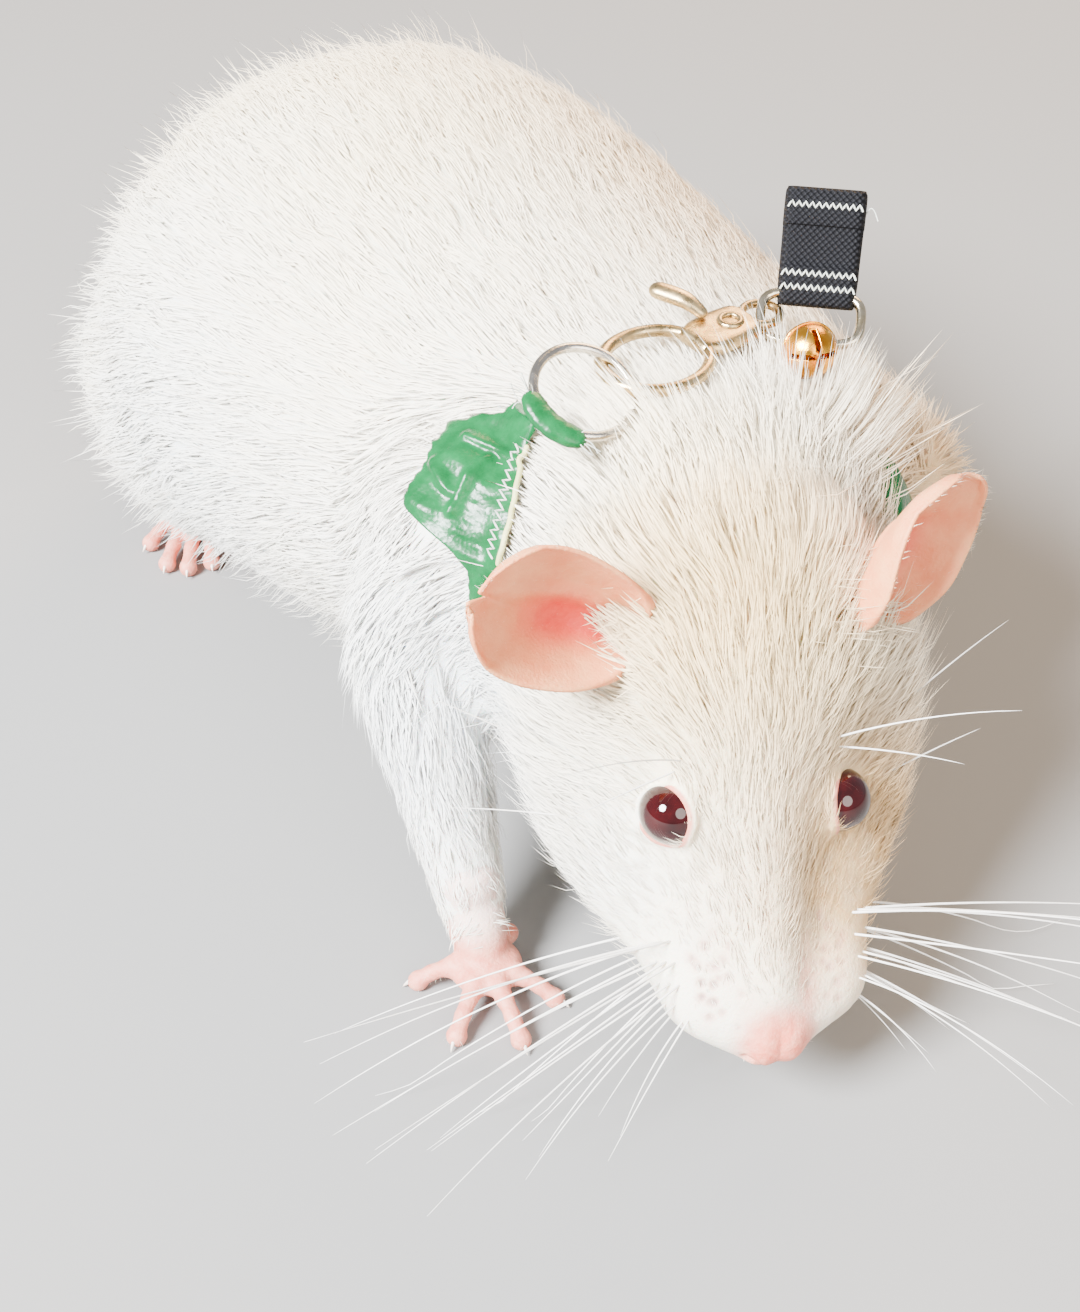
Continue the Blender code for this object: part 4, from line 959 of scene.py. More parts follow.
# %% Tail
TAIL_ROOT_RADIUS, TAIL_TIP_RADIUS = 5.0, 1.4
TAIL_RING = 1.05
TAIL_PATH = (
    (13.0, 94.0, 17.0), (14.0, 104.0, 12.0), (17.0, 115.0, 6.0), (23.0, 128.0, 4.0), (36.0, 147.0, 3.6),
    (56.0, 164.0, 3.0), (80.0, 174.0, 2.6), (104.0, 172.0, 2.0), (122.0, 160.0, 1.4),
)
FREE_ROWS = 42
SCALE_STEPS = ((0.0, -0.03), (0.45, 0.005), (0.8, 0.035))


def make_tail():
    """One loft from the rump to the tip."""
    path = catmull([(*p, 0.0) for p in TAIL_PATH], 12)
    path[:, 3] = np.linspace(TAIL_ROOT_RADIUS, TAIL_TIP_RADIUS, len(path))
    free = np.maximum(path[:, 2], path[:, 3] * 0.95)
    path[:, 2] = np.where(np.arange(len(path)) < FREE_ROWS, free, path[:, 3] * 0.95)
    run = np.concatenate(([0.0], np.cumsum(np.linalg.norm(np.diff(path[:, :3], axis=0), axis=1))))
    rows = []
    for ring in np.arange(0.0, run[-1] - TAIL_RING, TAIL_RING):
        for part, rise in SCALE_STEPS:
            spot = ring + part * TAIL_RING
            row = [np.interp(spot, run, path[:, c]) for c in range(4)]
            row[3] *= 0.96 + rise
            rows.append(row)
    return loft("tail", tube_rings(rows, sides=22))


tail = make_tail()
above_floor(tail)
print("tail:", len(tail.data.polygons), "faces")


# %% [markdown]
# ## One skin
# Ears, paws, feet and tail are fused with the body by Boolean unions, so the skin has no seam, and
# it stands for every node of flesh. Unions lose track of the points, so what each point was marked
# with is looked up again from the nearest point of the part that it came from.

# %% One skin
BODY_KIND, EAR_KIND, PAW_KIND, TAIL_KIND = 0.0, 1.0, 2.0, 3.0


def marked(made, kind, lid=0.0, pit=0.0, cup=0.0):
    """A part's points with its marks: lid, pit, cup, and what kind of part it is."""
    places = get_points(made)
    return places, np.stack([np.broadcast_to(value, len(places)) for value in (lid, pit, cup, kind)], axis=1)


marks = [marked(body, BODY_KIND, lid=lid_pink, pit=pit)]
marks += [marked(made, EAR_KIND, cup=cup_red_and_shade) for made, cup_red_and_shade in ear_parts.values()]
marks += [marked(made, PAW_KIND) for made in paw_parts.values()] + [marked(tail, TAIL_KIND)]
mark_points = np.vstack([places for places, values in marks])
mark_values = np.vstack([values for places, values in marks])
extras = [made for made, cup_red_and_shade in ear_parts.values()] + [*paw_parts.values(), tail]
for extra in extras:
    before = len(body.data.vertices)
    weld = body.modifiers.new("Union", "BOOLEAN")
    weld.operation = "UNION"
    weld.solver = "MANIFOLD"
    weld.object = extra
    bake(body)
    if len(body.data.vertices) <= before:
        print("union failed for", extra.name)
    remove(extra)
lookup = KDTree(len(mark_points))
for i, point in enumerate(mark_points):
    lookup.insert(point, i)
lookup.balance()
nearest = np.array([lookup.find(point)[1] for point in get_points(body)])
lid_mark, pit_mark, cup_colour_and_shade_mark, kind = mark_values[nearest].T
above_floor(body)
skin_points = get_points(body)
print("one skin:", len(body.data.vertices), "points")


# %% [markdown]
# ## Markings
# The rat is creamy white. A cool tint on the right shoulder and flank is painted light: the key
# lamp's cool colour laid into the coat where that lamp falls. The warmer tan on the left cheek, along
# the back's left side and behind the clip is partly the coat's own colour and partly painted warm
# shade on the side away from the key lamp. Skin and hairs share one group of nodes that turns a place
# on the body into the coat's colour, so both always agree. Each spot is a centre in metres, a reach
# and a share.

# %% Markings
WHITE = (0.95, 0.92, 0.84)
CREAM = (0.94, 0.74, 0.40)
# A warm tan, partly the coat's own colour and partly painted warm shade on the rat's left side.
BEIGE_AND_SHADE = (0.78, 0.48, 0.20)
# A cool tint of painted light: the key lamp's colour, laid on the lit right side.
PAINTED_COOL_LIGHT = (0.84, 0.90, 0.96)
CREAM_SPOTS = (((-0.039, -0.088, 0.056), 0.034, 0.75), ((-0.022, 0.010, 0.075), 0.070, 0.30))
# Tan spots along the back's left side, on the left of the head and behind the clip: partly the coat's own
# warmth and partly painted shade away from the key lamp.
BEIGE_AND_SHADE_SPOTS = (
    ((0.008, -0.034, 0.060), 0.046, 0.6), ((0.010, 0.005, 0.068), 0.050, 0.4),
    ((0.003, -0.076, 0.046), 0.032, 0.9), ((-0.039, -0.087, 0.057), 0.024, 0.5),
)
# Spots of painted cool light on the right shoulder and flank, where the key lamp falls.
PAINTED_COOL_LIGHT_SPOTS = (((-0.058, -0.058, 0.030), 0.040, 0.8), ((-0.060, 0.005, 0.030), 0.055, 0.6))
# The left cheek's tan is half the coat's own colour and half painted shade.
LEFT_CHEEK_TAN_AND_SHADE = (tuple((HEAD_FRAME @ Vector((13.0, -7.0, -5.0)) - MIDDLE) * MM), 0.028, 1.2)
markings = bpy.data.node_groups.new("coat_markings", "ShaderNodeTree")
markings.interface.new_socket("Color", in_out="OUTPUT", socket_type="NodeSocketColor")
place = position(markings)


def closeness(centre, reach):
    """1 at a centre in metres and 0 beyond a reach."""
    away = node(markings, "VectorMath", [(0, place), (1, centre)], operation="DISTANCE").outputs["Value"]
    sockets = [(0, away), (1, 0.0), (2, reach), (3, 1.0), (4, 0.0)]
    return node(markings, "MapRange", sockets, interpolation_type="SMOOTHSTEP").outputs[0]


def spotted(spots, start=0.0):
    """The sum of soft spots and a starting value, held between 0 and 1."""
    total = start
    for centre, reach, share in spots:
        spot = maths(markings, "MULTIPLY", closeness(centre, reach), share)
        total = maths(markings, "ADD", total, spot, clamp=True)
    return total


# %% Markings from spots
drift = maths(markings, "MULTIPLY", noise(markings, 45.0, 3.0, place), 0.45)
colour = mix(markings, spotted(CREAM_SPOTS, drift), WHITE, CREAM)
flecks = grey_ramp(markings, noise(markings, 420.0, 4.0, place), (0.30, 0.8), (0.70, 1.0))
# Tan laid on, partly the coat's own colour and partly painted warm shade, broken up by flecks.
beige_and_shade = maths(markings, "MULTIPLY", spotted((*BEIGE_AND_SHADE_SPOTS, LEFT_CHEEK_TAN_AND_SHADE)), flecks)
colour = mix(markings, beige_and_shade, colour, BEIGE_AND_SHADE)
# Painted light: the key lamp's cool tint laid over the right shoulder and flank.
colour = mix(markings, spotted(PAINTED_COOL_LIGHT_SPOTS), colour, PAINTED_COOL_LIGHT)
out = markings.nodes.new("NodeGroupOutput")
markings.links.new(colour, out.inputs["Color"])
print("markings:", len(CREAM_SPOTS + BEIGE_AND_SHADE_SPOTS + PAINTED_COOL_LIGHT_SPOTS) + 1, "soft spots")


def coat_colour(tree):
    """The coat's colour for a finish's own nodes."""
    made = tree.nodes.new("ShaderNodeGroup")
    made.node_tree = markings
    return made.outputs["Color"]


# %% [markdown]
# ## Skin finish
# Where hair is short the skin shows pink through it: on lids, nose, ears, paws and tail. Ears are
# thin and blood-rich, so their cups are coral, and the deep coral at the cup's root is partly painted
# shade in the hollow; the tail is greyer and scaly, and the pits where whiskers grow are grey, partly
# their own tone and partly painted shade in the pits. Light enters skin a little way, which softens
# it, and fine bumps give it pores and creases.

# %% Skin finish
# Grey for the whisker pits: partly the follicles' own tone and partly painted shade in the pits.
PIT_TONE_AND_SHADE = (0.36, 0.28, 0.26)
SCATTER_SHARE, SCATTER_RADIUS, SCATTER_DEPTH = 0.25, (1.0, 0.35, 0.2), 0.0015
skin_look, tree, shader = new_material("rat_skin")
mottle = noise(tree, 900.0, 5.0)
pink = ramp(tree, mottle, (0.3, (0.66, 0.19, 0.13)), (0.7, (0.78, 0.32, 0.23)))
peach = ramp(tree, noise(tree, 260.0), (0.3, (0.74, 0.22, 0.085)), (0.7, (0.84, 0.36, 0.16)))
# The cup's deep red is partly the ear's own colour and partly painted shade in the hollow.
coral = ramp(tree, mottle, (0.2, (0.68, 0.025, 0.018)), (0.8, (0.80, 0.10, 0.06)))
tail_tone = ramp(tree, mottle, (0.3, (0.50, 0.29, 0.23)), (0.7, (0.66, 0.44, 0.35)))
ear_tone = mix(tree, attribute(tree, "cup"), peach, coral)
nose_tone = ramp(tree, mottle, (0.3, (0.72, 0.15, 0.09)), (0.7, (0.84, 0.31, 0.21)))
bare = pink
# Among these tones, the cup's deep red and the pits' grey are partly painted shade in hollows.
for mark, tone in (("ear", ear_tone), ("tail", tail_tone), ("nose", nose_tone), ("pit", PIT_TONE_AND_SHADE)):
    bare = mix(tree, attribute(tree, mark), bare, tone)
feed(tree, shader, "Base Color", mix(tree, attribute(tree, "hairy"), bare, coat_colour(tree)))
creases = noise(tree, 2600.0, 4.0)
feed(tree, shader, "Roughness", maths(tree, "ADD", maths(tree, "MULTIPLY", creases, 0.25), 0.4))
shader.inputs["Subsurface Weight"].default_value = SCATTER_SHARE
shader.inputs["Subsurface Radius"].default_value = SCATTER_RADIUS
shader.inputs["Subsurface Scale"].default_value = SCATTER_DEPTH
relief(tree, shader, creases, 0.00012)

# %% Skin marks
# Pink strips beside the bridge, where short fur shows skin on both sides. The left strip's greater share is
# painted shade and the right strip's smaller share is painted light.
BESIDE_BRIDGE = ((0.75, (3.4, -20.5, -3.0), (1.5, 5.0, 3.0)), (0.3, (-3.2, -21.5, -3.4), (1.4, 3.5, 3.0)))
weights = part_weights(skin_points)
face = body_to_head(skin_points)
mirrored = np.hstack((np.abs(face[:, :1]), face[:, 1:]))
is_ear, paw, is_tail = (np.where(kind == wanted, 1.0, 0.0) for wanted in (EAR_KIND, PAW_KIND, TAIL_KIND))
bare_paw = paw * (1 - 0.6 * smoothstep(skin_points[:, 2], 5.0, 9.0))
from_nose = np.linalg.norm((mirrored - (0.0, -25.2, -5.8)) / (4.7, 5.4, 5.2), axis=1)
nose_mark = np.exp(-(from_nose ** 6))
for row in BESIDE_BRIDGE:
    nose_mark = np.maximum(nose_mark, form(face, row))
nose_mark = nose_mark * (kind == BODY_KIND)
bare_pit = np.minimum(1.3 * pit_mark, 1.0)
bare_mark = np.maximum.reduce((lid_mark, bare_pit, nose_mark, is_ear, is_tail, bare_paw))
hairy_mark = 1 - bare_mark
skin_marks = (
    ("hairy", hairy_mark), ("cup", cup_colour_and_shade_mark), ("ear", is_ear), ("tail", is_tail), ("nose", nose_mark),
    ("pit", pit_mark),
)
for name, values in skin_marks:
    set_attribute(body, name, values)
print("bare skin on", round(100 * float(bare_mark.mean())), "% of points")

# %% [markdown]
# ## An unwrap of the skin
# Each tuft of the coat takes its colour from its root, so the skin is unwrapped by its own shape and
# every tuft becomes a small patch of that map where it grows.

# %% Unwrap
LIMBS = ("upper_arm", "forearm", "thigh", "forepaw", "hind_foot")
FLESH = ["head", "muzzle", "neck", "chest", "belly", "rump", "ear_left", "ear_right"]
FLESH += [name + side for name in LIMBS for side in ("_right", "_left")]
FLESH += ["tail_" + str(k + 1) for k in range(5)]
for layer in list(body.data.uv_layers):
    body.data.uv_layers.remove(layer)
body.data.uv_layers.new(name="OFBake")
bpy.context.view_layer.objects.active = body
body.select_set(True)
bpy.ops.object.mode_set(mode="EDIT")
bpy.ops.mesh.select_all(action="SELECT")
bpy.ops.uv.smart_project(angle_limit=math.radians(70), island_margin=0.002)
bpy.ops.object.mode_set(mode="OBJECT")

# %% Skin triangles
body.data.calc_loop_triangles()
triangles = read(body.data.loop_triangles, "vertices", 3, np.int32)
corners = read(body.data.loop_triangles, "loops", 3, np.int32)
corner_map = read(body.data.uv_layers["OFBake"].uv, "vector", 2)[corners]
skin_normals = get_normals(body)
print("unwrapped", len(triangles), "triangles")


# %% [markdown]
# ## Fabric and leather
# The harness is soft green leather: a band round the neck, one round the chest, and a panel on the
# right shoulder whose end is rolled round a steel ring. A place on it is told by degrees round the
# trunk from the top and by y, and it is drawn over the outer shape, so it hugs the body.

# %% Leather looks
GRAIN_SHINE = 0.3


def grained_look(name, dark, light, roughness, cells, depth):
    """A finish with soft mottling, small cells of grain and worn patches of roughness."""
    made, tree, shader = new_material(name)
    shader.inputs["Specular IOR Level"].default_value = GRAIN_SHINE
    feed(tree, shader, "Base Color", ramp(tree, noise(tree, cells * 0.2, 4.0), (0.3, dark), (0.7, light)))
    worn = noise(tree, cells * 0.5, 5.0)
    feed(tree, shader, "Roughness", grey_ramp(tree, worn, (0.3, roughness * 0.75), (0.75, roughness * 1.3)))
    grain = node(tree, "TexVoronoi", [("Scale", cells), ("Vector", position(tree))])
    relief(tree, shader, grain.outputs["Distance"], depth, 0.6)
    return made


dark_green, green = (0.0, 0.060, 0.014), (0.0006, 0.115, 0.030)
leather_look = grained_look("green_leather", dark_green, green, 0.27, 2200.0, 0.00004)
piping_look = grained_look("pale_piping", (0.52, 0.50, 0.20), (0.72, 0.70, 0.34), 0.6, 2500.0, 0.0001)
thread_look = grained_look("pale_thread", (0.42, 0.45, 0.40), (0.66, 0.68, 0.62), 0.7, 4000.0, 0.0001)

# %% Harness tools
STRAP_AXIS = (9.05, 38.3)
FAR_OUT = 90.0
worn_points, worn_faces = [], []


def wear(made, slot, look, *replaced, shows=lambda place: True):
    """Note where a finished piece shows, so that no hair runs through it there, and settle it."""
    first = len(worn_points)
    worn_points.extend(tuple(p) for p in get_points(made))
    for face in made.data.polygons:
        if shows(face.center):
            worn_faces.append(tuple(first + k for k in face.vertices))
    settle(made, slot, look, *replaced)


def over_body(degrees, y, heights, parts=("trunk",), bridging=0):
    """Grids of points over the outer shape, one per height; bridging stretches them over hollows."""
    reach = np.empty(degrees.shape)
    ways = np.stack((-np.sin(np.radians(degrees)), 0 * degrees, np.cos(np.radians(degrees))), axis=-1)
    starts = np.stack((STRAP_AXIS[0] + 0 * y, y, STRAP_AXIS[1] + 0 * y), axis=-1)
    for spot in np.ndindex(degrees.shape):
        way, start = Vector(ways[spot]), Vector(starts[spot])
        hits = [part_trees[part].ray_cast(start + way * FAR_OUT, -way)[3] for part in parts]
        reach[spot] = FAR_OUT - min(hit for hit in hits if hit is not None)
    for _ in range(bridging):
        padded = np.pad(reach, 1, mode="edge")
        around = padded[2:, 1:-1] + padded[:-2, 1:-1] + padded[1:-1, 2:] + padded[1:-1, :-2]
        reach = np.maximum(reach, around / 4)
    return [starts + ways * (reach + height)[..., None] for height in heights]


# %% Strips of the harness
def band(stops, thickness, columns=15, ripple=None, **more):
    """Upper and lower grids of a strap through stops of degrees, front y, back y and height."""
    degrees, front, back, height = (column[:, None] for column in np.array(stops).T)
    v = np.linspace(0.0, 1.0, columns)
    y = front + (back - front) * v
    degrees = degrees + 0.0 * v
    height = height + (ripple(degrees, y) if ripple else 0.0)
    half = thickness / 2 * (1 - 0.85 * np.abs(2 * v - 1) ** 8)
    return over_body(degrees, y, (height + half, height - half), **more)


def strip(name, start, way, side, thick, stops, columns=17, power=6, wrinkle=0.0):
    """A straight strip through stops of along, half width and half thickness, round at its edges."""
    rows = catmull(stops, 6)
    v = np.linspace(-1, 1, columns)
    along, half, deep = (rows[:, k:k + 1] for k in range(3))
    spots = start + along[..., None] * np.array(way) + (half * v)[..., None] * np.array(side)
    rise = deep * (1 - 0.9 * np.abs(v) ** power) + wrinkle * np.sin(along * 3.1 + 2.0 * v) * (1 - v * v)
    raised = rise[..., None] * np.array(thick)
    made = shell(name, spots + raised, spots - raised)
    for label, values in (("run", along + 0 * v), ("across", half * v)):
        set_attribute(made, label, np.tile(values.ravel(), 2))
    return made


# %% Wires and frames
def closed_wire(name, spots, wire, up, sides=14):
    """A wire bent into a loop that lies across the up direction; wire is one radius or one each."""
    spots = np.asarray(spots, dtype=float)
    ahead = unit(np.roll(spots, -1, axis=0) - np.roll(spots, 1, axis=0))
    up = np.asarray(up, dtype=float)
    out = unit(np.cross(ahead, up))
    turns = 2 * np.pi * (np.arange(sides) + 0.5) / sides
    spread = np.cos(turns)[None, :, None] * out[:, None] + np.sin(turns)[None, :, None] * up
    thickness = np.broadcast_to(wire, len(spots))[:, None, None]
    return loft(name, spots[:, None] + spread * thickness, closed=True)


def local(matrix, points):
    """Points of a frame of their own, in the body's."""
    return np.array([tuple(matrix @ Vector(p)) for p in points])


def local_axis(matrix, axis=(0, 0, 1)):
    """A direction of a frame of its own, in the body's."""
    return np.array((matrix.to_3x3() @ Vector(axis)).normalized())


def wire_loop(name, matrix, spots, wire, sides=14):
    """A closed wire that lies flat in a frame of its own."""
    return closed_wire(name, local(matrix, spots), wire, local_axis(matrix), sides)


def circle(radius, count=72, stretch=1.0):
    """Points round a circle or, stretched, an oval."""
    turns = 2 * np.pi * np.arange(count) / count
    return np.stack((radius * np.cos(turns), radius * stretch * np.sin(turns), 0 * turns), axis=1)


# %% [markdown]
# ## Straps
# On the animal the straps sink into the fur, which closes over them, and only the stretch on the
# left shoulder shows. A closed sheet with soft edges does for both; its height says how deep it is.

# %% Straps
STRAP_WIDTH = 7.0
STRAP_THICKNESS = 0.9
HIDDEN, SHOWN = -2.7, 0.2
SHOWN_STRAP = "harness_neck_strap"
NECK_STRAP = (
    (64, -13.6), (90, -18.0), (130, -22.0), (180, -26.0), (230, -30.0), (280, -34.0), (300, -35.0),
    (318, -33.5), (331, -28.0), (346, -18.0), (360, -12.0), (374, -10.5),
)
GIRTH_STRAP = (
    (64, -5.4), (90, 1.0), (130, 8.0), (180, 11.0), (230, 8.0), (270, 2.0), (300, -2.0), (330, -3.0),
    (349, -3.0),
)
SHOWN_FROM_X, SHOWN_FROM_Z = 20.0, 40.0


def strap_shows(place):
    """Whether a place on the shown strap lies where the fur leaves it free."""
    return place.x > SHOWN_FROM_X and place.z > SHOWN_FROM_Z


for name, middles in (("harness_neck_strap", NECK_STRAP), ("harness_girth_strap", GIRTH_STRAP)):
    path = catmull(middles, 8)
    height = np.full(len(path), HIDDEN)
    if name == SHOWN_STRAP:
        shown = smoothstep(path[:, 0], 290, 300) * (1 - smoothstep(path[:, 0], 318, 328))
        height += (SHOWN - HIDDEN) * shown
    stops = np.stack((path[:, 0], path[:, 1] - STRAP_WIDTH / 2, path[:, 1] + STRAP_WIDTH / 2, height), axis=1)
    made = shell(name + "_band", *band(stops, STRAP_THICKNESS))
    shows = strap_shows if name == SHOWN_STRAP else lambda place: False
    wear(made, "green_leather", leather_look, name, shows=shows)

# %% [markdown]
# ## Shoulder panel
# The panel is a torn and rippled patch: a wavy upper edge, three folds that catch the light, and a
# front edge bound with pale piping and a zigzag seam. Its lower end narrows and runs into the fur.

# %% Shoulder panel
PANEL = (
    (40.0, -10.4, -6.4), (43.0, -10.9, -5.4), (47.0, -11.5, -3.3), (51.0, -12.6, -1.2), (55.0, -14.2, -2.4),
    (59.0, -15.6, -3.8), (63.0, -16.6, -4.6), (66.5, -17.1, -5.4), (69.0, -17.4, -11.6), (72.0, -17.7, -14.0),
    (79.0, -18.4, -15.4),
)
PANEL_LIFT = 0.85
DEGREE = 0.5
FOLDS = (((52.3, -8.8), (63.2, -10.4)), ((51.0, -5.0), (49.0, -11.9)), ((58.0, -5.0), (60.5, -9.0)))


def panel_ripple(degrees, y):
    """Height of the folds and of small ripples."""
    flat = np.stack((degrees.ravel() * DEGREE, y.ravel()), axis=1)
    rise = 0.16 * np.sin(flat[:, 0] * 0.9 + flat[:, 1] * 0.5)
    rise = rise + 0.05 * np.sin(flat[:, 0] * 2.3 - flat[:, 1] * 1.1)
    for start, end in FOLDS:
        path = [(start[0] * DEGREE, start[1]), (end[0] * DEGREE, end[1])]
        rise += 0.75 * groove(flat, path, 0.55) - 0.35 * groove(flat, path, 1.7)
    return rise.reshape(degrees.shape)


PANEL_ROWS, PANEL_COLUMNS = 90, 48
PIPING_RADIUS = 0.3
panel_degrees = np.linspace(PANEL[0][0], PANEL[-1][0], PANEL_ROWS)
panel_rows = np.array(PANEL)
fronts, backs = (np.interp(panel_degrees, panel_rows[:, 0], panel_rows[:, k]) for k in (1, 2))
backs += 0.3 * np.sin(panel_degrees * 1.25) * (panel_degrees < 56) + 0.12 * np.sin(panel_degrees * 3.3)
stops = np.stack((panel_degrees, fronts, backs, np.full(PANEL_ROWS, PANEL_LIFT)), axis=1)
over = {"parts": ("trunk", "right_arm"), "bridging": 60}
upper, lower = band(stops, STRAP_THICKNESS, PANEL_COLUMNS, panel_ripple, **over)
wear(shell("shoulder_panel", upper, lower), "green_leather", leather_look, "harness_yoke")
away = unit(upper - lower)
bound = slice(14, 64)
piping = upper[bound, 0] - 0.1 * away[bound, 3]
piping_rows = np.hstack((piping, np.full((len(piping), 1), PIPING_RADIUS)))
wear(tube("panel_piping", piping_rows, per_span=1), "green_leather", piping_look)
zigzag = [(*(upper[i, 3 if i % 4 else 7] + 0.06 * away[i, 5]), 0.12) for i in range(16, 64, 2)]
wear(tube("panel_stitches", zigzag, per_span=2, sides=8), "webbing", thread_look)

# %% [markdown]
# ## Ring, rolled end and snap clip
# The ring and the clip share a frame whose x runs from the ring to the clip's swivel. Wires are
# closed tubes, and the plate is a strip with rounded edges. Steel is worn and scratched, and the
# clip's plating has turned to the colour of old brass. The panel's end is rolled round the ring, and
# a few threads fray out of it.

# %% Metal looks
SCRATCH_STRETCH = (1.0, 6.0, 0.4)


def metal_look(name, dark, light, roughness):
    """Worn metal: mottled tone, fine scratches and smudges of roughness."""
    made, tree, shader = new_material(name)
    place = position(tree)
    stretched = node(tree, "Mapping", [("Vector", place), ("Scale", SCRATCH_STRETCH)]).outputs["Vector"]
    feed(tree, shader, "Base Color", ramp(tree, noise(tree, 500.0, 5.0, place), (0.3, dark), (0.65, light)))
    smudge = noise(tree, 900.0, 4.0, place)
    feed(tree, shader, "Roughness", grey_ramp(tree, smudge, (0.35, roughness * 0.7), (0.75, roughness * 1.6)))
    shader.inputs["Metallic"].default_value = 1.0
    relief(tree, shader, noise(tree, 2400.0, 3.0, stretched), 0.00004, 0.5)
    return made


steel_look = metal_look("steel_wire", (0.44, 0.40, 0.34), (0.70, 0.66, 0.60), 0.2)
brass_look = metal_look("worn_brass", (0.34, 0.22, 0.09), (0.66, 0.50, 0.27), 0.28)
gold_look = metal_look("bell_gold", (0.70, 0.22, 0.01), (1.0, 0.52, 0.05), 0.2)
nickel_look = metal_look("link_nickel", (0.56, 0.45, 0.27), (0.80, 0.71, 0.55), 0.16)

# %% Ring and clip
CLIP_AT = Vector((-8.0, -15.6, 66.2))
CLIP_ALONG = Vector((0.997, 0.05, 0.05)).normalized()
CLIP_FACE = Vector((-0.1, -0.22, 0.97))
RING_RADIUS, RING_WIRE, RING_TILT = 5.4, 0.55, math.radians(17)
CLIP_TILT, BOW_AT, BOW_RADIUS, BOW_STRETCH, BOW_WIRE = math.radians(-8), 9.5, 6.0, 0.88, 0.7
RIVET_AT, SWIVEL_AT = 19.8, 24.2
LINK_HALF_LENGTH, LINK_HALF_WIDTH = 5.4, 3.0
PLATE = (
    (-5.4, 2.2, 0.5), (-4.8, 2.5, 0.85), (-3.0, 3.2, 0.9), (1.4, 3.1, 0.9), (2.4, 2.3, 0.85), (2.9, 1.9, 0.5),
)
LEVER = ((-2.2, 2.4, 1.6, 0.8), (-2.8, 4.0, 2.3, 1.1), (-3.5, 5.6, 2.5, 1.2), (-4.2, 7.0, 2.6, 1.15))
RIVET_PROFILE = ((0.8, -1.1), (1.45, -1.1), (1.5, 0.9), (1.4, 1.15), (1.15, 1.25), (0.9, 1.2), (0.8, 1.0))
SWIVEL_RADIUS, SWIVEL_WIRE = 2.1, 0.5
LINK_WIRE, LINK_TURN, LINK_TILT = 0.55, math.radians(-45), math.radians(30)
clip_face = (CLIP_FACE - CLIP_ALONG * CLIP_FACE.dot(CLIP_ALONG)).normalized()
clip_turn = Matrix((CLIP_ALONG, clip_face.cross(CLIP_ALONG), clip_face)).transposed().to_4x4()
clip_frame = Matrix.Translation(CLIP_AT) @ clip_turn
ring_frame = clip_frame @ Matrix.Rotation(RING_TILT, 4, "X")
hook_frame = clip_frame @ Matrix.Rotation(CLIP_TILT, 4, "X")
rivet_frame = hook_frame @ Matrix.Translation((RIVET_AT, 0, 0))
swivel_frame = hook_frame @ Matrix.Translation((SWIVEL_AT, 0, 0))
link_frame = (swivel_frame @ Matrix.Rotation(LINK_TURN, 4, "Z") @ Matrix.Rotation(LINK_TILT, 4, "X")
              @ Matrix.Translation((LINK_HALF_LENGTH, 0, 0)))

wear(wire_loop("ring_wire", ring_frame, circle(RING_RADIUS), RING_WIRE), "steel", steel_look, "harness_ring")
bow_spots = circle(BOW_RADIUS, 96, BOW_STRETCH) + (BOW_AT, 0, 0)
bow_wire = BOW_WIRE * (1.0 + 0.25 * smoothstep(-bow_spots[:, 0], -BOW_AT, 0.0))
clip_parts = [wire_loop("bow", hook_frame, bow_spots, bow_wire)]
clip_axes = [local_axis(hook_frame, axis) for axis in ((1, 0, 0), (0, 1, 0), (0, 0, 1))]
clip_parts.append(strip("plate", np.array(rivet_frame.translation), *clip_axes, PLATE, power=10))
clip_parts.append(wire_loop("swivel_eye", swivel_frame, circle(SWIVEL_RADIUS, 40), SWIVEL_WIRE))
wear(joined("snap_clip", clip_parts), "nickel", brass_look, "clip_body")
turns = 2 * np.pi * np.arange(48) / 48
rivet = [local(rivet_frame, [(r * math.cos(t), r * math.sin(t), z) for r, z in RIVET_PROFILE]) for t in turns]
wear(loft("rivet_head", rivet, closed=True), "nickel", brass_look, "clip_rivet")
lever_rows = [(*(rivet_frame @ Vector(row[:3])), row[3]) for row in LEVER]
lever = tube("trigger_pill", lever_rows, sides=24, squash=0.75, up=local_axis(hook_frame))
wear(lever, "nickel", brass_look, "clip_trigger")
oval = circle(1.0, 72)
oval = np.sign(oval) * np.abs(oval) ** 0.55 * (LINK_HALF_LENGTH, LINK_HALF_WIDTH, 0.0)
wear(wire_loop("link_wire", link_frame, oval, LINK_WIRE), "nickel", nickel_look, "clip_link")

# %% Rolled end of the panel
ROLL_FROM, ROLL_TO = math.radians(168), math.radians(226)
ROLL_RADIUS, ROLL_SQUASH = 1.45, 0.6
FLAP_HALF_THICKNESS, FLAP_SAG = 0.4, 0.7
THREADS = 14
roll_angles = np.linspace(ROLL_FROM, ROLL_TO, 13)
roll_reach = RING_RADIUS + 0.45
roll_x, roll_y = roll_reach * np.cos(roll_angles), roll_reach * np.sin(roll_angles)
roll_line = local(ring_frame, np.stack((roll_x, roll_y, 0 * roll_angles), axis=1))
pleat = ROLL_RADIUS * (1.0 + 0.02 * np.sin(np.arange(13) * 1.9) - 0.12 * np.abs(np.linspace(-1, 1, 13)) ** 3)
roll_rows = np.hstack((roll_line, pleat[:, None]))
roll_parts = [tube("roll", roll_rows, per_span=3, sides=28, squash=ROLL_SQUASH, up=local_axis(ring_frame))]
flap_ends = [upper[1, 4], upper[1, -5]]
flap_rows = []
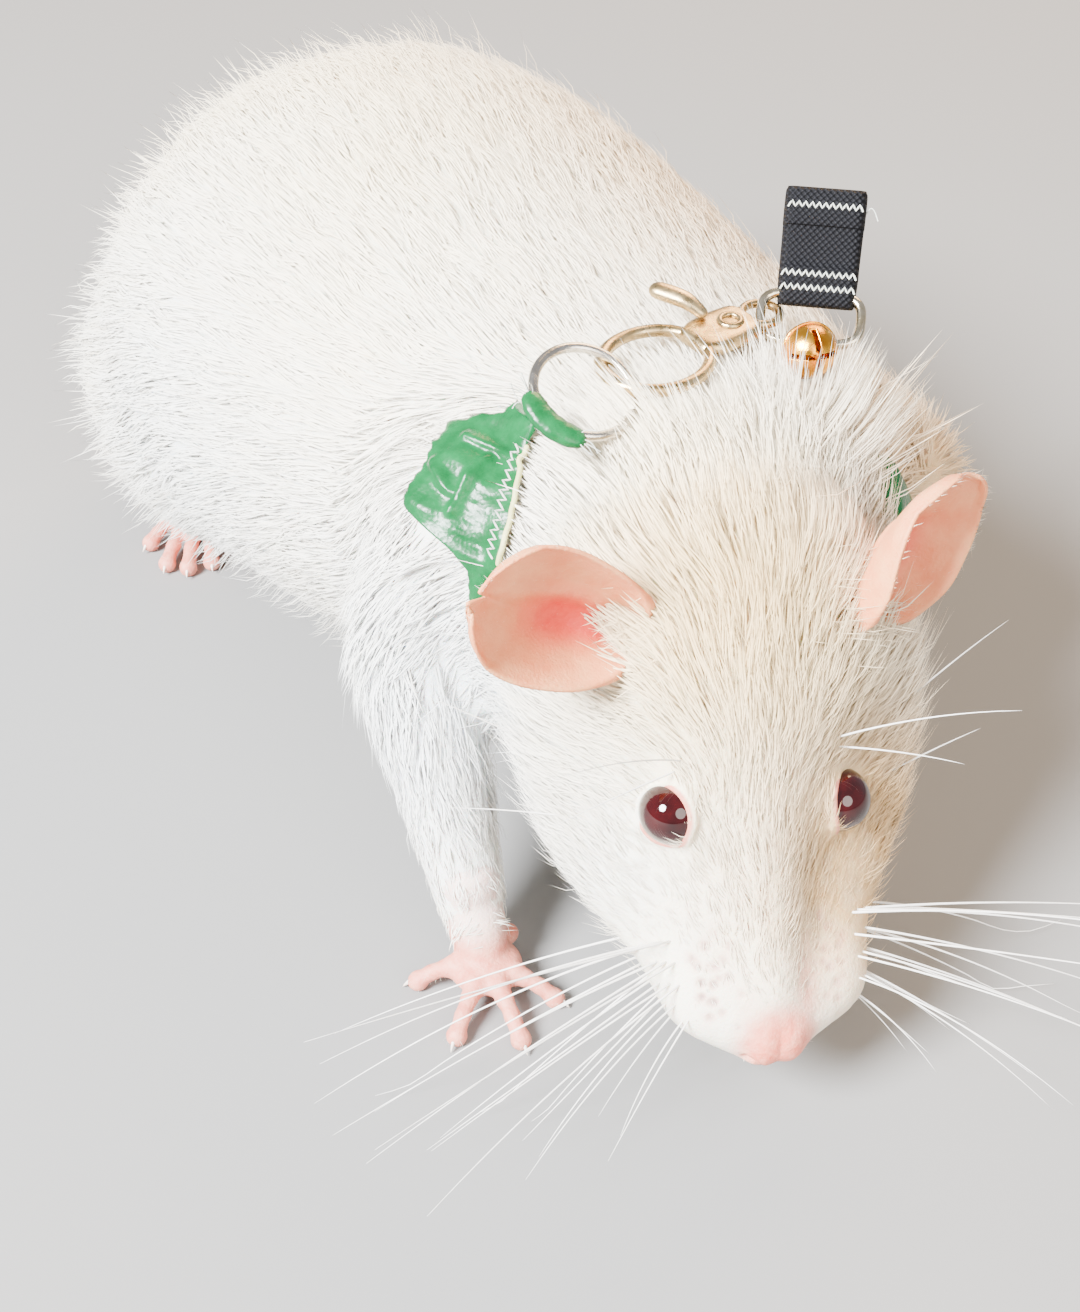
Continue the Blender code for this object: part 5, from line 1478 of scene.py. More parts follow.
for t in np.linspace(0.0, 1.0, 15):
    first, last = flap_ends[0] * (1 - t) + roll_line[10] * t, flap_ends[1] * (1 - t) + roll_line[2] * t
    flap_rows.append(np.linspace(first, last, 15) + np.array((0.0, 0.0, -FLAP_SAG * math.sin(math.pi * t))))
flap = np.array(flap_rows)
flap_out = unit(np.cross(np.gradient(flap, axis=0), np.gradient(flap, axis=1)))
flap_half = flap_out * FLAP_HALF_THICKNESS
roll_parts.append(shell("flap", flap + flap_half, flap - flap_half))
wear(joined("rolled_end", roll_parts), "green_leather", leather_look, "harness_loop")
rng = np.random.default_rng(5)
threads = []
for _ in range(THREADS):
    end = rng.choice((0, 12))
    centre = roll_line[end]
    way = unit(unit(centre - roll_line[6]) + rng.normal(size=3) * 0.5)
    root = centre + way * (ROLL_RADIUS * 0.8)
    bend = rng.normal(size=3) * 0.5
    rows = [(*(root + way * t * 1.6 + bend * t * t), 0.06) for t in np.linspace(0, 1, 5)]
    threads.append(tube("thread", rows, per_span=2, sides=6))
settle(joined("frayed_threads", threads), "webbing", thread_look)

# %% [markdown]
# ## Webbing end and bell
# A folded end of black woven tape stands up from the link, sewn with grey zigzags. The weave is made
# of waves along and across the tape. The bell is a hollow ball with a seam and a cross of slots.

# %% Webbing end
WEBBING_SHINE = 0.15
SEAMS = ((0.4, 1.42), (1.9, 1.46), (9.2, 1.34))
SEAM_STITCHES, STITCH_STEP, STITCH_SWING, STITCH_RADIUS = 23, 0.36, 0.3, 0.11
WEBBING_RISE = Vector((0.45, 0.35, 0.85))
TAPE = (
    (-1.5, 4.0, 0.5), (-1.1, 4.15, 1.2), (1.4, 4.3, 1.45), (2.6, 4.3, 1.4), (3.1, 4.3, 1.0), (6.8, 4.35, 1.0),
    (7.3, 4.4, 1.3), (10.4, 4.4, 1.3), (11.0, 4.25, 1.0), (11.2, 4.2, 0.5),
)
WEAVE = 9.0
webbing_look, tree, shader = new_material("black_webbing")
shader.inputs["Specular IOR Level"].default_value = WEBBING_SHINE
turns = [maths(tree, "MULTIPLY", attribute(tree, way), WEAVE) for way in ("run", "across")]
waves = [maths(tree, "SINE", turn) for turn in turns]
weave = maths(tree, "ADD", maths(tree, "MULTIPLY", maths(tree, "MULTIPLY", *waves), 0.5), 0.5)
fibre = noise(tree, 5000.0)
black, faded = (0.002, 0.002, 0.003), (0.012, 0.012, 0.015)
worn = ramp(tree, maths(tree, "MULTIPLY", weave, fibre), (0.15, black), (0.6, faded))
feed(tree, shader, "Base Color", worn)
feed(tree, shader, "Roughness", grey_ramp(tree, fibre, (0.3, 0.55), (0.7, 0.8)))
relief(tree, shader, maths(tree, "ADD", weave, maths(tree, "MULTIPLY", fibre, 0.4)), 0.0002)
tape_start = np.array(link_frame @ Vector((0.4, LINK_HALF_WIDTH, 0.0)))
tape_side = Vector(local_axis(link_frame, (1, 0, 0)))
tape_way = (WEBBING_RISE - tape_side * WEBBING_RISE.dot(tape_side)).normalized()
tape_thick = np.array(tape_side.cross(tape_way))
tape_side, tape_way = np.array(tape_side), np.array(tape_way)
tape = strip("webbing_tape", tape_start, tape_way, tape_side, tape_thick, TAPE, 33, 14)
wear(tape, "webbing", webbing_look, "webbing_end")
seams = []
for along, deep in SEAMS:
    for sign in (-1, 1):
        rows = []
        for k in range(SEAM_STITCHES):
            spot = tape_start + tape_way * (along + (STITCH_SWING if k % 2 else -STITCH_SWING))
            spot = spot + tape_side * (k - SEAM_STITCHES // 2) * STITCH_STEP + tape_thick * sign * deep
            rows.append((*spot, STITCH_RADIUS))
        seams.append(tube("seam", rows, per_span=2, sides=6))
loose = tape_start + tape_way * 8.6 + tape_side * 4.3
rows = [(*(loose + tape_side * 1.2 * t + tape_way * 0.9 * math.sin(3 * t)), 0.07) for t in (0, 0.4, 0.8, 1.2)]
seams.append(tube("loose_thread", rows, sides=6))
wear(joined("webbing_stitches", seams), "webbing", thread_look)

# %% Bell
BELL_AT = Vector((16.4, -22.3, 66.5))
BELL_RADIUS, BELL_WALL = 2.95, 0.35
SEAM_WIRE = 0.16
BELL_EYE_RADIUS, BELL_EYE_WIRE = 1.4, 0.38
CLAPPER_RADIUS = 0.7
SLOT_PROFILE = ((-0.3, 1.2), (0.3, 1.2), (0.3, 5.0), (-0.3, 5.0))
SLOT_REACH = 4.0


def cut_away(target, cutter):
    """Take one closed shape out of another."""
    knife = target.modifiers.new("Cut", "BOOLEAN")
    knife.operation = "DIFFERENCE"
    knife.object = cutter
    bake(target)
    remove(cutter)


hanger = link_frame @ Vector((-1.2, -LINK_HALF_WIDTH, 0.0))
hang = (BELL_AT - hanger).normalized()
bell_frame = Matrix.Translation(BELL_AT) @ hang.to_track_quat("Z", "Y").to_matrix().to_4x4()
shell_ball = ball("bell_shell", (0, 0, 0), (BELL_RADIUS,) * 3, bell_frame, 64)
cut_away(shell_ball, ball("hollow", (0, 0, 0), (BELL_RADIUS - BELL_WALL,) * 3, bell_frame, 48))
for degrees in (0, 90):
    turned = bell_frame @ Matrix.Rotation(math.radians(degrees), 4, "Z")
    slot_ends = [[(x, y, z) for x, z in SLOT_PROFILE] for y in (-SLOT_REACH, SLOT_REACH)]
    cut_away(shell_ball, loft("slot", [local(turned, ends) for ends in slot_ends]))
eye_turn = hang.to_track_quat("X", "Y").to_matrix().to_4x4()
eye_frame = Matrix.Translation(hanger + hang * 0.4) @ eye_turn
bell_parts = [shell_ball]
bell_parts.append(wire_loop("seam", bell_frame, circle(BELL_RADIUS + 0.02, 96), SEAM_WIRE, 8))
bell_parts.append(wire_loop("bell_eye", eye_frame, circle(BELL_EYE_RADIUS, 32), BELL_EYE_WIRE, 10))
neck_rows = [(*(hanger + hang * 1.5), 0.45), (*(BELL_AT - hang * BELL_RADIUS * 0.95), 0.8)]
bell_parts.append(tube("bell_neck", neck_rows, per_span=1, sides=12, up=(1.0, 0.0, 0.0)))
clapper = bell_frame @ Vector((0.0, 0.0, BELL_RADIUS - BELL_WALL - 0.75))
bell_parts.append(ball("clapper", clapper, (CLAPPER_RADIUS,) * 3, segments=16))
wear(joined("bell_ball", bell_parts), "gold", gold_look, "bell")
worn_tree = BVHTree.FromPolygons(worn_points, worn_faces)
print("harness and clip:", len(worn_faces), "faces")


# %% [markdown]
# ## Where hairs grow and how they lie
# Hair lies back from the nose over the head, back and down over the trunk, and down the legs. For
# each root the directions of the parts are blended by its weights, ruffled a little by smooth waves,
# and laid into the skin.

# %% Lie of the coat
ARM_PATHS = {2: np.array(RIGHT_ARM)[:, :3], 3: np.array(LEFT_ARM)[:, :3]}
RUFFLE, RUFFLE_LENGTH = 0.12, 9.0
THIGH_WAY = np.array((0.0, 0.75, -0.65))
WAVES = 5


def in_skin(ways, normals):
    """Directions with what stands out of the skin taken away."""
    return ways - normals * np.sum(ways * normals, axis=1, keepdims=True)


def along_limb(points, path):
    """The direction of the nearest stretch of a limb, from shoulder to paw."""
    best = np.full(len(points), 1e9)
    way = np.zeros_like(points)
    for start, end in zip(path, path[1:]):
        apart = to_segment(points, start, end)
        closer = apart < best
        best = np.where(closer, apart, best)
        way[closer] = (end - start) / np.linalg.norm(end - start)
    return way


def wavy(points, scale, seed):
    """A smooth pseudo-random value at each point, from a few crossed waves."""
    rng = np.random.default_rng(seed)
    total = np.zeros(len(points))
    for _ in range(WAVES):
        wave = rng.normal(size=3)
        wave *= rng.uniform(0.6, 1.6) / (np.linalg.norm(wave) * scale)
        total += np.sin(points @ wave * 2 * np.pi + rng.uniform(0, 2 * np.pi))
    return total / 2.2


def coat_lie(points, normals, weights):
    """The direction in which the hair lies at each point, in the skin."""
    face = body_to_head(points)
    outward = np.sign(face[:, 0]) * smoothstep(np.abs(face[:, 0]), 1.0, 14.0)
    head_way = np.stack((0.55 * outward, np.ones(len(face)), -0.35 * np.abs(outward)), axis=1)
    head_way = head_way @ HEAD_AXES.T
    level = np.clip((points[:, 2] - 20.0) / 45.0, 0, 1)
    trunk_way = np.stack((np.zeros(len(points)), np.ones(len(points)), -0.55 * (1 - level)), axis=1)
    way = weights[:, 1:2] * head_way + weights[:, 0:1] * trunk_way
    for column, path in ARM_PATHS.items():
        way += weights[:, column:column + 1] * along_limb(points, path)
    way += (weights[:, 4] + weights[:, 5])[:, None] * THIGH_WAY
    way += RUFFLE * np.stack([wavy(points, RUFFLE_LENGTH, seed) for seed in (11, 12, 13)], axis=1)
    return unit(in_skin(way, normals))


# %% [markdown]
# ## A tuft
# One tuft is a thin three-sided spike, closed all round: a root triangle just under the skin, for
# the bent ones a second triangle half way, and a tip. Arrays of roots, directions and lengths turn
# into one mesh with thousands of tufts at once. Marks along it and for each tuft let the finish
# vary, and its shading leans towards the skin's own, as a thick coat's does.

# %% Tufts
PATCH = 0.0015
ROOT_SINK = 0.35
SKIN_SHADING = 0.62
STRAIGHT = ((0, 1, 2), (0, 3, 1), (1, 3, 2), (2, 3, 0))
BENT = (
    (0, 1, 2), (0, 3, 1), (1, 3, 4), (1, 4, 2), (2, 4, 5),
    (2, 5, 0), (0, 5, 3), (3, 6, 4), (4, 6, 5), (5, 6, 3),
)
PATCH_CORNERS = np.array(((-1, -1), (1, -1), (0, -1), (-0.8, 0), (0.8, 0), (0, 0), (0, 1)), dtype=float)
ALONG = (0.0, 0.0, 0.0, 0.5, 0.5, 0.5, 1.0)
ROOTS_AND_TIP = [0, 1, 2, 6]


def tufts(name, hair, bent):
    """A closed mesh of tapering spikes on the skin, from one array per property of the hairs."""
    count = len(hair["root"])
    corners = 7 if bent else 4
    lies, normals, length = hair["lie"], hair["normal"], hair["length"]
    side = unit(np.cross(normals, lies))
    rise = hair["lift"] + (hair["curl"] if bent else 0.0)
    fall = hair["lift"] - (hair["curl"] if bent else 0.0)
    start = lies * np.cos(rise)[:, None] + normals * np.sin(rise)[:, None]
    end = lies * np.cos(fall)[:, None] + normals * np.sin(fall)[:, None]
    base = hair["root"] - normals * ROOT_SINK
    middle = base + start * (length * 0.5)[:, None]
    thick = np.cross(start, side)
    half = (hair["width"] / 2)[:, None]
    vertices = np.empty((count, corners, 3))
    shading = np.empty((count, corners, 3))
    for offset, centre, scale in ((0, base, 1.0), (3, middle, 0.85))[:corners // 3]:
        for k, out in enumerate((side, -side, thick)):
            vertices[:, offset + k] = centre + out * half * scale * (0.8 if k == 2 else 1.0)
            shading[:, offset + k] = unit(normals * SKIN_SHADING + out * (1 - SKIN_SHADING))
    vertices[:, -1] = middle + end * (length * 0.5)[:, None]
    shading[:, -1] = normals
    vertices[..., 2] = np.maximum(vertices[..., 2], 0.02)
    faces = (np.arange(count)[:, None, None] * corners + np.array(BENT if bent else STRAIGHT)).reshape(-1)
    mesh = bpy.data.meshes.new(name)
    mesh.vertices.add(count * corners)
    mesh.vertices.foreach_set("co", vertices.astype(np.float32).ravel())
    mesh.loops.add(len(faces))
    mesh.loops.foreach_set("vertex_index", faces.astype(np.int32))
    mesh.polygons.add(len(faces) // 3)
    mesh.polygons.foreach_set("loop_start", np.arange(0, len(faces), 3, dtype=np.int32))
    mesh.update(calc_edges=True)
    mesh.normals_split_custom_set_from_vertices(shading.reshape(-1, 3).astype(np.float32))
    layer = mesh.uv_layers.new(name="OFBake")
    corner, along = PATCH_CORNERS * PATCH, np.array(ALONG)
    if not bent:
        corner, along = corner[ROOTS_AND_TIP], along[ROOTS_AND_TIP]
    spots = (hair["map"][:, None, :] + corner[None]).reshape(-1, 2)[faces]
    layer.uv.foreach_set("vector", spots.astype(np.float32).ravel())
    made = placed(name, mesh)
    set_attribute(made, "along", np.tile(along, count))
    set_attribute(made, "tone", np.repeat(hair["tone"], corners))
    return made


# %% Coat finish
COAT_SHEEN = 0.2
coat_look, tree, shader = new_material("rat_coat")
tone = attribute(tree, "tone")
shade = ramp(tree, tone, (0.0, (0.86, 0.78, 0.66)), (0.5, (0.98, 0.96, 0.92)), (1.0, (1.0, 1.0, 1.0)))
# Painted shade: each tuft darker towards its root, where the coat crowds against the skin.
root_shade = grey_ramp(tree, attribute(tree, "along"), (0.0, 0.90), (0.45, 1.0), (1.0, 1.0))
base = mix(tree, 1.0, coat_colour(tree), shade, "MULTIPLY")
feed(tree, shader, "Base Color", mix(tree, 1.0, base, root_shade, "MULTIPLY"))
feed(tree, shader, "Roughness", maths(tree, "ADD", maths(tree, "MULTIPLY", tone, 0.2), 0.42))
shader.inputs["Sheen Weight"].default_value = COAT_SHEEN


# %% [markdown]
# ## Growing the coat
# Roots are scattered over the skin's triangles, denser where hairs are finer. An under-coat of
# straight hairs closes the surface, and a top coat of bent ones, gathered into small locks, gives it
# its strands. Length, width and lift come from the place: short and flat on the face and paws, longer
# on the back, standing up at the nape, with guard hairs that break the outline at rump and belly.
# Densities are hairs per square millimetre, widths millimetres and lifts degrees.

# %% Growing the coat
UNDER = {"face": 3.0, "crown": 3.2, "trunk": 3.0, "arm": 3.2}
TOP = {"face": 6.5, "crown": 3.6, "trunk": 2.0, "arm": 3.0}
WIDTHS = (0.12, 0.17, 0.22, 0.16)
LIFTS = (12.0, 16.0, 10.0, 11.0)
CROWN_LENGTH, TRUNK_LENGTH = 7.2, 7.4
TOES_AT, TOES_REACH, TOES_SHORTER = (-17.0, 63.0, 6.0), (16.0, 13.0, 12.0), 0.72
NAPE_AT, NAPE_REACH = (5.0, -24.0, 61.0), (20.0, 9.0, 12.0)
HAIRS_PER_LOCK, LOCK_SHARE = 14.0, 0.75
GUARD_SHARE, GUARD_LONGER, GUARD_THINNER = 0.06, 1.2, 0.62
rng = np.random.default_rng(20)


def coat_shares(face, points, weights):
    """Shares of face, crown, trunk and arm at each point."""
    head = weights[:, 1]
    crown = head * smoothstep(face[:, 1], -2.0, 14.0)
    arm = (weights[:, 2] + weights[:, 3]) * (1 - smoothstep(points[:, 2], 22.0, 44.0))
    front = head - crown
    return front, crown, np.clip(1 - front - crown - arm, 0, 1), arm


# %% Roots
a, b, c = (skin_points[triangles[:, k]] for k in range(3))
areas = np.linalg.norm(np.cross(b - a, c - a), axis=1) / 2


def scatter(density):
    """Random roots over the skin, as many per square millimetre as its points say."""
    counts = rng.poisson(areas * density[triangles].mean(axis=1))
    chosen = np.repeat(np.arange(len(triangles)), counts)
    mix_a, mix_b = rng.random(len(chosen)), rng.random(len(chosen))
    flip = mix_a + mix_b > 1
    mix_a, mix_b = np.where(flip, 1 - mix_a, mix_a), np.where(flip, 1 - mix_b, mix_b)
    shares = np.stack((1 - mix_a - mix_b, mix_a, mix_b), axis=1)[..., None]
    hair = {"root": skin_points, "normal": skin_normals, "weights": weights}
    hair = {key: np.sum(values[triangles[chosen]] * shares, axis=1) for key, values in hair.items()}
    hair["normal"] = unit(hair["normal"])
    hair["map"] = np.sum(corner_map[chosen] * shares, axis=1)
    hair["face"] = body_to_head(hair["root"])
    hair["lie"] = coat_lie(hair["root"], hair["normal"], hair["weights"])
    return hair


# %% Locks
def gather(hair, per_lock, share):
    """Lean neighbouring hairs together into locks, each towards one of its own hairs."""
    middles = np.flatnonzero(rng.random(len(hair["root"])) < 1.0 / per_lock)
    finder = KDTree(len(middles))
    for i in middles:
        finder.insert(hair["root"][i], int(i))
    finder.balance()
    towards = hair["root"][[finder.find(root)[1] for root in hair["root"]]] - hair["root"]
    hair["lie"] = unit(hair["lie"] + share * in_skin(towards, hair["normal"]) / hair["length"][:, None])


def ruffle(hair, amount):
    """Turn each hair a little at random."""
    jitter = rng.normal(size=(len(hair["root"]), 3)) * amount
    hair["lie"] = unit(hair["lie"] + in_skin(jitter, hair["normal"]))


def drawn(hair, low, high):
    """A random value between two limits for each hair."""
    return rng.uniform(low, high, len(hair["root"]))


# %% Growing hairs
def grow(hair, top):
    """Give each root its length, width, lift, curl and tone."""
    roots, face = hair["root"], hair["face"]
    sideways, back, height = np.abs(face[:, 0]), face[:, 1], roots[:, 2]
    count = len(roots)
    shares = coat_shares(face, roots, hair["weights"])
    front, crown, trunk, arm = shares
    nape = swell(roots, NAPE_AT, NAPE_REACH) * (1 - front)
    ragged = trunk * np.maximum(smoothstep(roots[:, 1], 50.0, 95.0), smoothstep(34.0 - height, 0.0, 18.0))
    cheek = (front + crown) * smoothstep(sideways, 13.0, 18.0) * smoothstep(back, -9.0, 0.0)
    face_length = 1.0 + 1.6 * smoothstep(back, -24.0, 2.0) + 1.2 * smoothstep(sideways, 9.0, 17.0)
    trunk_length = TRUNK_LENGTH - 2.2 * smoothstep(22.0 - height, 0.0, 18.0)
    trunk_length = trunk_length * (1 - TOES_SHORTER * swell(roots, TOES_AT, TOES_REACH))
    arm_length = 2.4 + 3.4 * smoothstep(height, 8.0, 34.0)
    bridge = front * hump(face[:, 0], 5.5) * smoothstep(back, -24.0, -14.0)
    length = 2.2 * bridge + front * face_length + crown * CROWN_LENGTH
    length = length + trunk * trunk_length + arm * arm_length + 3.5 * nape + 1.2 * cheek
    width = sum(share * value for share, value in zip(shares, WIDTHS))
    lift = np.radians(sum(share * value for share, value in zip(shares, LIFTS)))
    clump = wavy(roots, 3.4, 31) * 0.5 + wavy(roots, 1.5, 32) * 0.5
    guard = np.zeros(count, dtype=bool)
    if top:
        guard = rng.random(count) < GUARD_SHARE * (0.4 + 1.8 * ragged + 2.0 * cheek)
        ruffle(hair, 0.10)
    else:
        length, width, lift = length * 0.8, width * 1.15, lift * 0.7
        ruffle(hair, 0.16)
    lift += np.radians(28.0) * nape * (1.0 if top else 0.5) + np.radians(2.5) * clump
    stand = np.where(guard, np.radians(8.0 + 20.0 * ragged), 0.0) + np.radians(10.0) * cheek
    lift += stand + rng.normal(size=count) * np.radians(2.5)
    hair["length"] = length * np.where(guard, GUARD_LONGER, 1.0) * drawn(hair, 0.75, 1.15)
    hair["width"] = width * np.where(guard, GUARD_THINNER, 1.0) * drawn(hair, 0.75, 1.2)
    hair["lift"] = np.maximum(lift, np.radians(3.0))
    hair["curl"] = np.radians(drawn(hair, 4.0, 9.0)) + 0.3 * hair["lift"]
    hair["tone"] = np.clip(0.66 + 0.16 * clump + rng.normal(size=count) * 0.16, 0, 1)
    return hair


# %% Hairs beside the harness
HARNESS_MARGIN, COVERED_WITHIN, SHORTEST_SHARE = 6.0, 3.0, 0.45


def clear_harness(hair):
    """Shorten or leave out the hairs that would run through the harness."""
    keep = np.ones(len(hair["root"]), dtype=bool)
    ways = hair["lie"] * np.cos(hair["lift"])[:, None] + hair["normal"] * np.sin(hair["lift"])[:, None]
    low = np.min(worn_points, axis=0) - HARNESS_MARGIN
    high = np.max(worn_points, axis=0) + HARNESS_MARGIN
    for i in np.flatnonzero(np.all((hair["root"] > low) & (hair["root"] < high), axis=1)):
        start = Vector(hair["root"][i] - hair["normal"][i] * 1.0)
        away = worn_tree.ray_cast(start, Vector(ways[i]), float(hair["length"][i] + 1.2))[3]
        under = worn_tree.ray_cast(start, Vector(hair["normal"][i]), COVERED_WITHIN)[3]
        if under is not None or (away is not None and away < SHORTEST_SHARE * hair["length"][i]):
            keep[i] = False
        elif away is not None:
            hair["length"][i] = 0.9 * away
    return {key: values[keep] for key, values in hair.items()}


# %% Under and top coat
shares_here = coat_shares(face, skin_points, weights)
hair_room = np.clip((hairy_mark - 0.12) / 0.88, 0, 1)
layers = []
for top, densities in ((False, UNDER), (True, TOP)):
    thickness = sum(share * densities[key] for key, share in zip(densities, shares_here)) * hair_room
    hair = grow(scatter(thickness), top)
    if top:
        gather(hair, HAIRS_PER_LOCK, LOCK_SHARE)
    layers.append((clear_harness(hair), top))
print("under and top coat:", [len(hair["root"]) for hair, top in layers], "tufts")

# %% [markdown]
# ## Fuzz, fringes and bristles
# Ears, paws and nose look bare, but short colourless hairs lie on them, and a fringe of longer ones
# stands over the root of each ear's cup. Thin bristles stand out of the cheeks and the rear of the
# back, where they soften the outline.

# %% Fuzz, fringes and bristles
FUZZ, NOSE_FUZZ = 2.6, 1.6
FRINGE_AT, FRINGE_REACH, FRINGE_DENSITY = (12.0, 19.0, 3.0), (3.6, 3.6, 3.6), 2.6
FACE_BRISTLE, BACK_BRISTLE = 3.4, 8.5
fuzz = scatter(FUZZ * np.maximum(is_ear, 0.8 * paw) * (1 - hair_room) + FUZZ * NOSE_FUZZ * nose_mark)
on_ear = fuzz["weights"][:, 1] > 0.3
ear_way = np.sign(fuzz["face"][:, :1]) * (0.76, 0.0, 0.0) + (0.0, 0.17, 0.62)
fuzz["lie"] = np.where(on_ear[:, None], ear_way @ HEAD_AXES.T, fuzz["lie"])
fuzz["lie"] = unit(in_skin(fuzz["lie"], fuzz["normal"]))
fuzz = grow(fuzz, False)
fuzz["length"] = drawn(fuzz, 0.7, 1.4)
fuzz["width"] = drawn(fuzz, 0.05, 0.08)
layers.append((fuzz, False))

fringe_here = FRINGE_DENSITY * swell(mirrored, FRINGE_AT, FRINGE_REACH) * (kind == BODY_KIND)
fringe = grow(scatter(fringe_here), True)
outward = np.sign(fringe["face"][:, :1]) * (1.0, 0.0, 0.0) + (0.0, -0.25, 0.75)
fringe["lie"] = unit(outward @ HEAD_AXES.T + rng.normal(size=(len(fringe["root"]), 3)) * 0.3)
fringe["length"] = drawn(fringe, 2.5, 5.0)
fringe["width"] = drawn(fringe, 0.07, 0.11)
fringe["lift"] = np.radians(drawn(fringe, 15.0, 50.0))
layers.append((fringe, True))

side_face = smoothstep(mirrored[:, 0], 9.0, 13.0) * smoothstep(face[:, 1], -22.0, -12.0)
side_face = side_face * (shares_here[0] + shares_here[1])
edges = 0.9 * side_face + 0.35 * smoothstep(skin_points[:, 1], 45.0, 95.0) * weights[:, 0]
bristles = grow(scatter(edges * hair_room), True)
on_face = bristles["weights"][:, 1] > 0.4
bristles["length"] = drawn(bristles, 0.8, 1.35) * np.where(on_face, FACE_BRISTLE, BACK_BRISTLE)
bristles["width"] = drawn(bristles, 0.07, 0.12)
bristles["lift"] = np.radians(drawn(bristles, 16.0, 46.0))
layers.append((clear_harness(bristles), True))
print("fuzz, fringe and bristles:", [len(hair["root"]) for hair in (fuzz, fringe, bristles)])

# %% [markdown]
# ## Crest
# Between the head and the harness the coat is pushed up into a crest, with three taller locks in it.
# Its hairs grow along a path over the nape and lean together in locks.

# %% Crest at the nape
LOCKS_AT, LOCK_WIDTH = (-2.0, 14.0, 22.0), 3.2
CREST_DENSITY, CREST_WIDTH = 15.0, 2.8
CREST_HAIRS_PER_LOCK, CREST_LOCK_SHARE = 26.0, 2.4
CREST = (
    (-6.0, -19.5, 61.0), (2.0, -22.0, 62.5), (9.0, -23.0, 63.0), (15.0, -26.0, 61.0), (21.0, -31.0, 57.0),
)
crest = grow(scatter(CREST_DENSITY * groove(skin_points, CREST, CREST_WIDTH)), True)
lock_height = np.max([hump(crest["root"][:, 0] - x, LOCK_WIDTH) for x in LOCKS_AT], axis=0)
crest["length"] = drawn(crest, 0.75, 1.1) * (6.5 + 6.0 * lock_height)
crest["lie"] = crest["lie"] * 0.6 + (crest["root"][:, :1] - 8.0) / 14.0 * (0.5, 0.0, 0.0)
gather(crest, CREST_HAIRS_PER_LOCK, CREST_LOCK_SHARE)
crest["lift"] = np.radians(drawn(crest, 48.0, 74.0))
crest["curl"] = np.radians(drawn(crest, 6.0, 14.0))
crest["width"] = drawn(crest, 0.15, 0.22)
layers.append((clear_harness(crest), True))
print("crest:", len(crest["root"]), "tufts")

# %% Coat pieces
PIECE_TRIANGLES = 190000
number = 0
for hair, bent in layers:
    each = len(BENT if bent else STRAIGHT)
    order = np.argsort(hair["root"][:, 1])
    for part in np.array_split(order, math.ceil(len(order) * each / PIECE_TRIANGLES)):
        number += 1
        piece = tufts("coat_" + str(number), {key: values[part] for key, values in hair.items()}, bent)
        settle(piece, "coat", coat_look)
settle(body, "coat", skin_look, *FLESH)

# %% [markdown]
# ## Whiskers
# Five rows of whiskers sprout from each whisker pad, the rear ones longest, and a few more grow over
# the eyes, on the cheeks and under the chin. Each is a thin tapering tube that droops under its own
# weight, and here and there one has been shed.

# %% Whiskers
WHISKER_RADIUS = 0.14
WHISKER_ROWS, WHISKER_COLUMNS = 5, 5
WHISKER_LENGTHS = (45.0, 41.0, 33.0, 24.0, 15.0)
SHED_SHARE = 0.16
BROW_AND_CHEEK = (
    ((8.8, 5.0, 3.0), (0.75, 0.15, 0.75), 21.0), ((9.6, 4.0, 2.0), (0.95, -0.2, 0.35), 14.0),
    ((16.0, 8.0, -8.0), (0.8, 0.55, 0.25), 17.0), ((15.0, 2.0, -10.0), (1.0, 0.3, -0.1), 13.0),
)
CHIN_HAIRS, CHIN_RADIUS = 9, 0.07
whisker_look = mottled_look("whisker", 700.0, (0.86, 0.82, 0.76), (0.95, 0.93, 0.90), 1500.0, 0.25, 0.4)[0]
skin_faces = [tuple(int(v) for v in corners) for corners in triangles]
skin_tree = BVHTree.FromPolygons([tuple(p) for p in skin_points], skin_faces)
rng = np.random.default_rng(7)
whisker_parts = []


def make_whisker(side, spot, way, length, droop, radius):
    """One whisker from the skin beside a spot of the head, bending down towards its tip."""
    mirror = Vector((side, 1.0, 1.0))
    root = skin_tree.find_nearest(HEAD_FRAME @ (Vector(spot) * mirror))[0]
    heading = (HEAD_FRAME.to_3x3() @ (Vector(way) * mirror)).normalized()
    wave = Vector(rng.normal(size=3)) * length * 0.05
    rows = []
    for t in np.linspace(0.0, 1.0, 9):
        place = root + heading * (length * t - 0.4) + Vector((0.0, 0.0, -droop * t * t)) + wave * t * t
        place.z = max(place.z, 0.4 + 0.6 * t)
        rows.append((*place, radius * (1 - t) ** 0.75 + 0.012))
    whisker_parts.append(tube("whisker", rows, per_span=2, sides=6, round_ends=False))


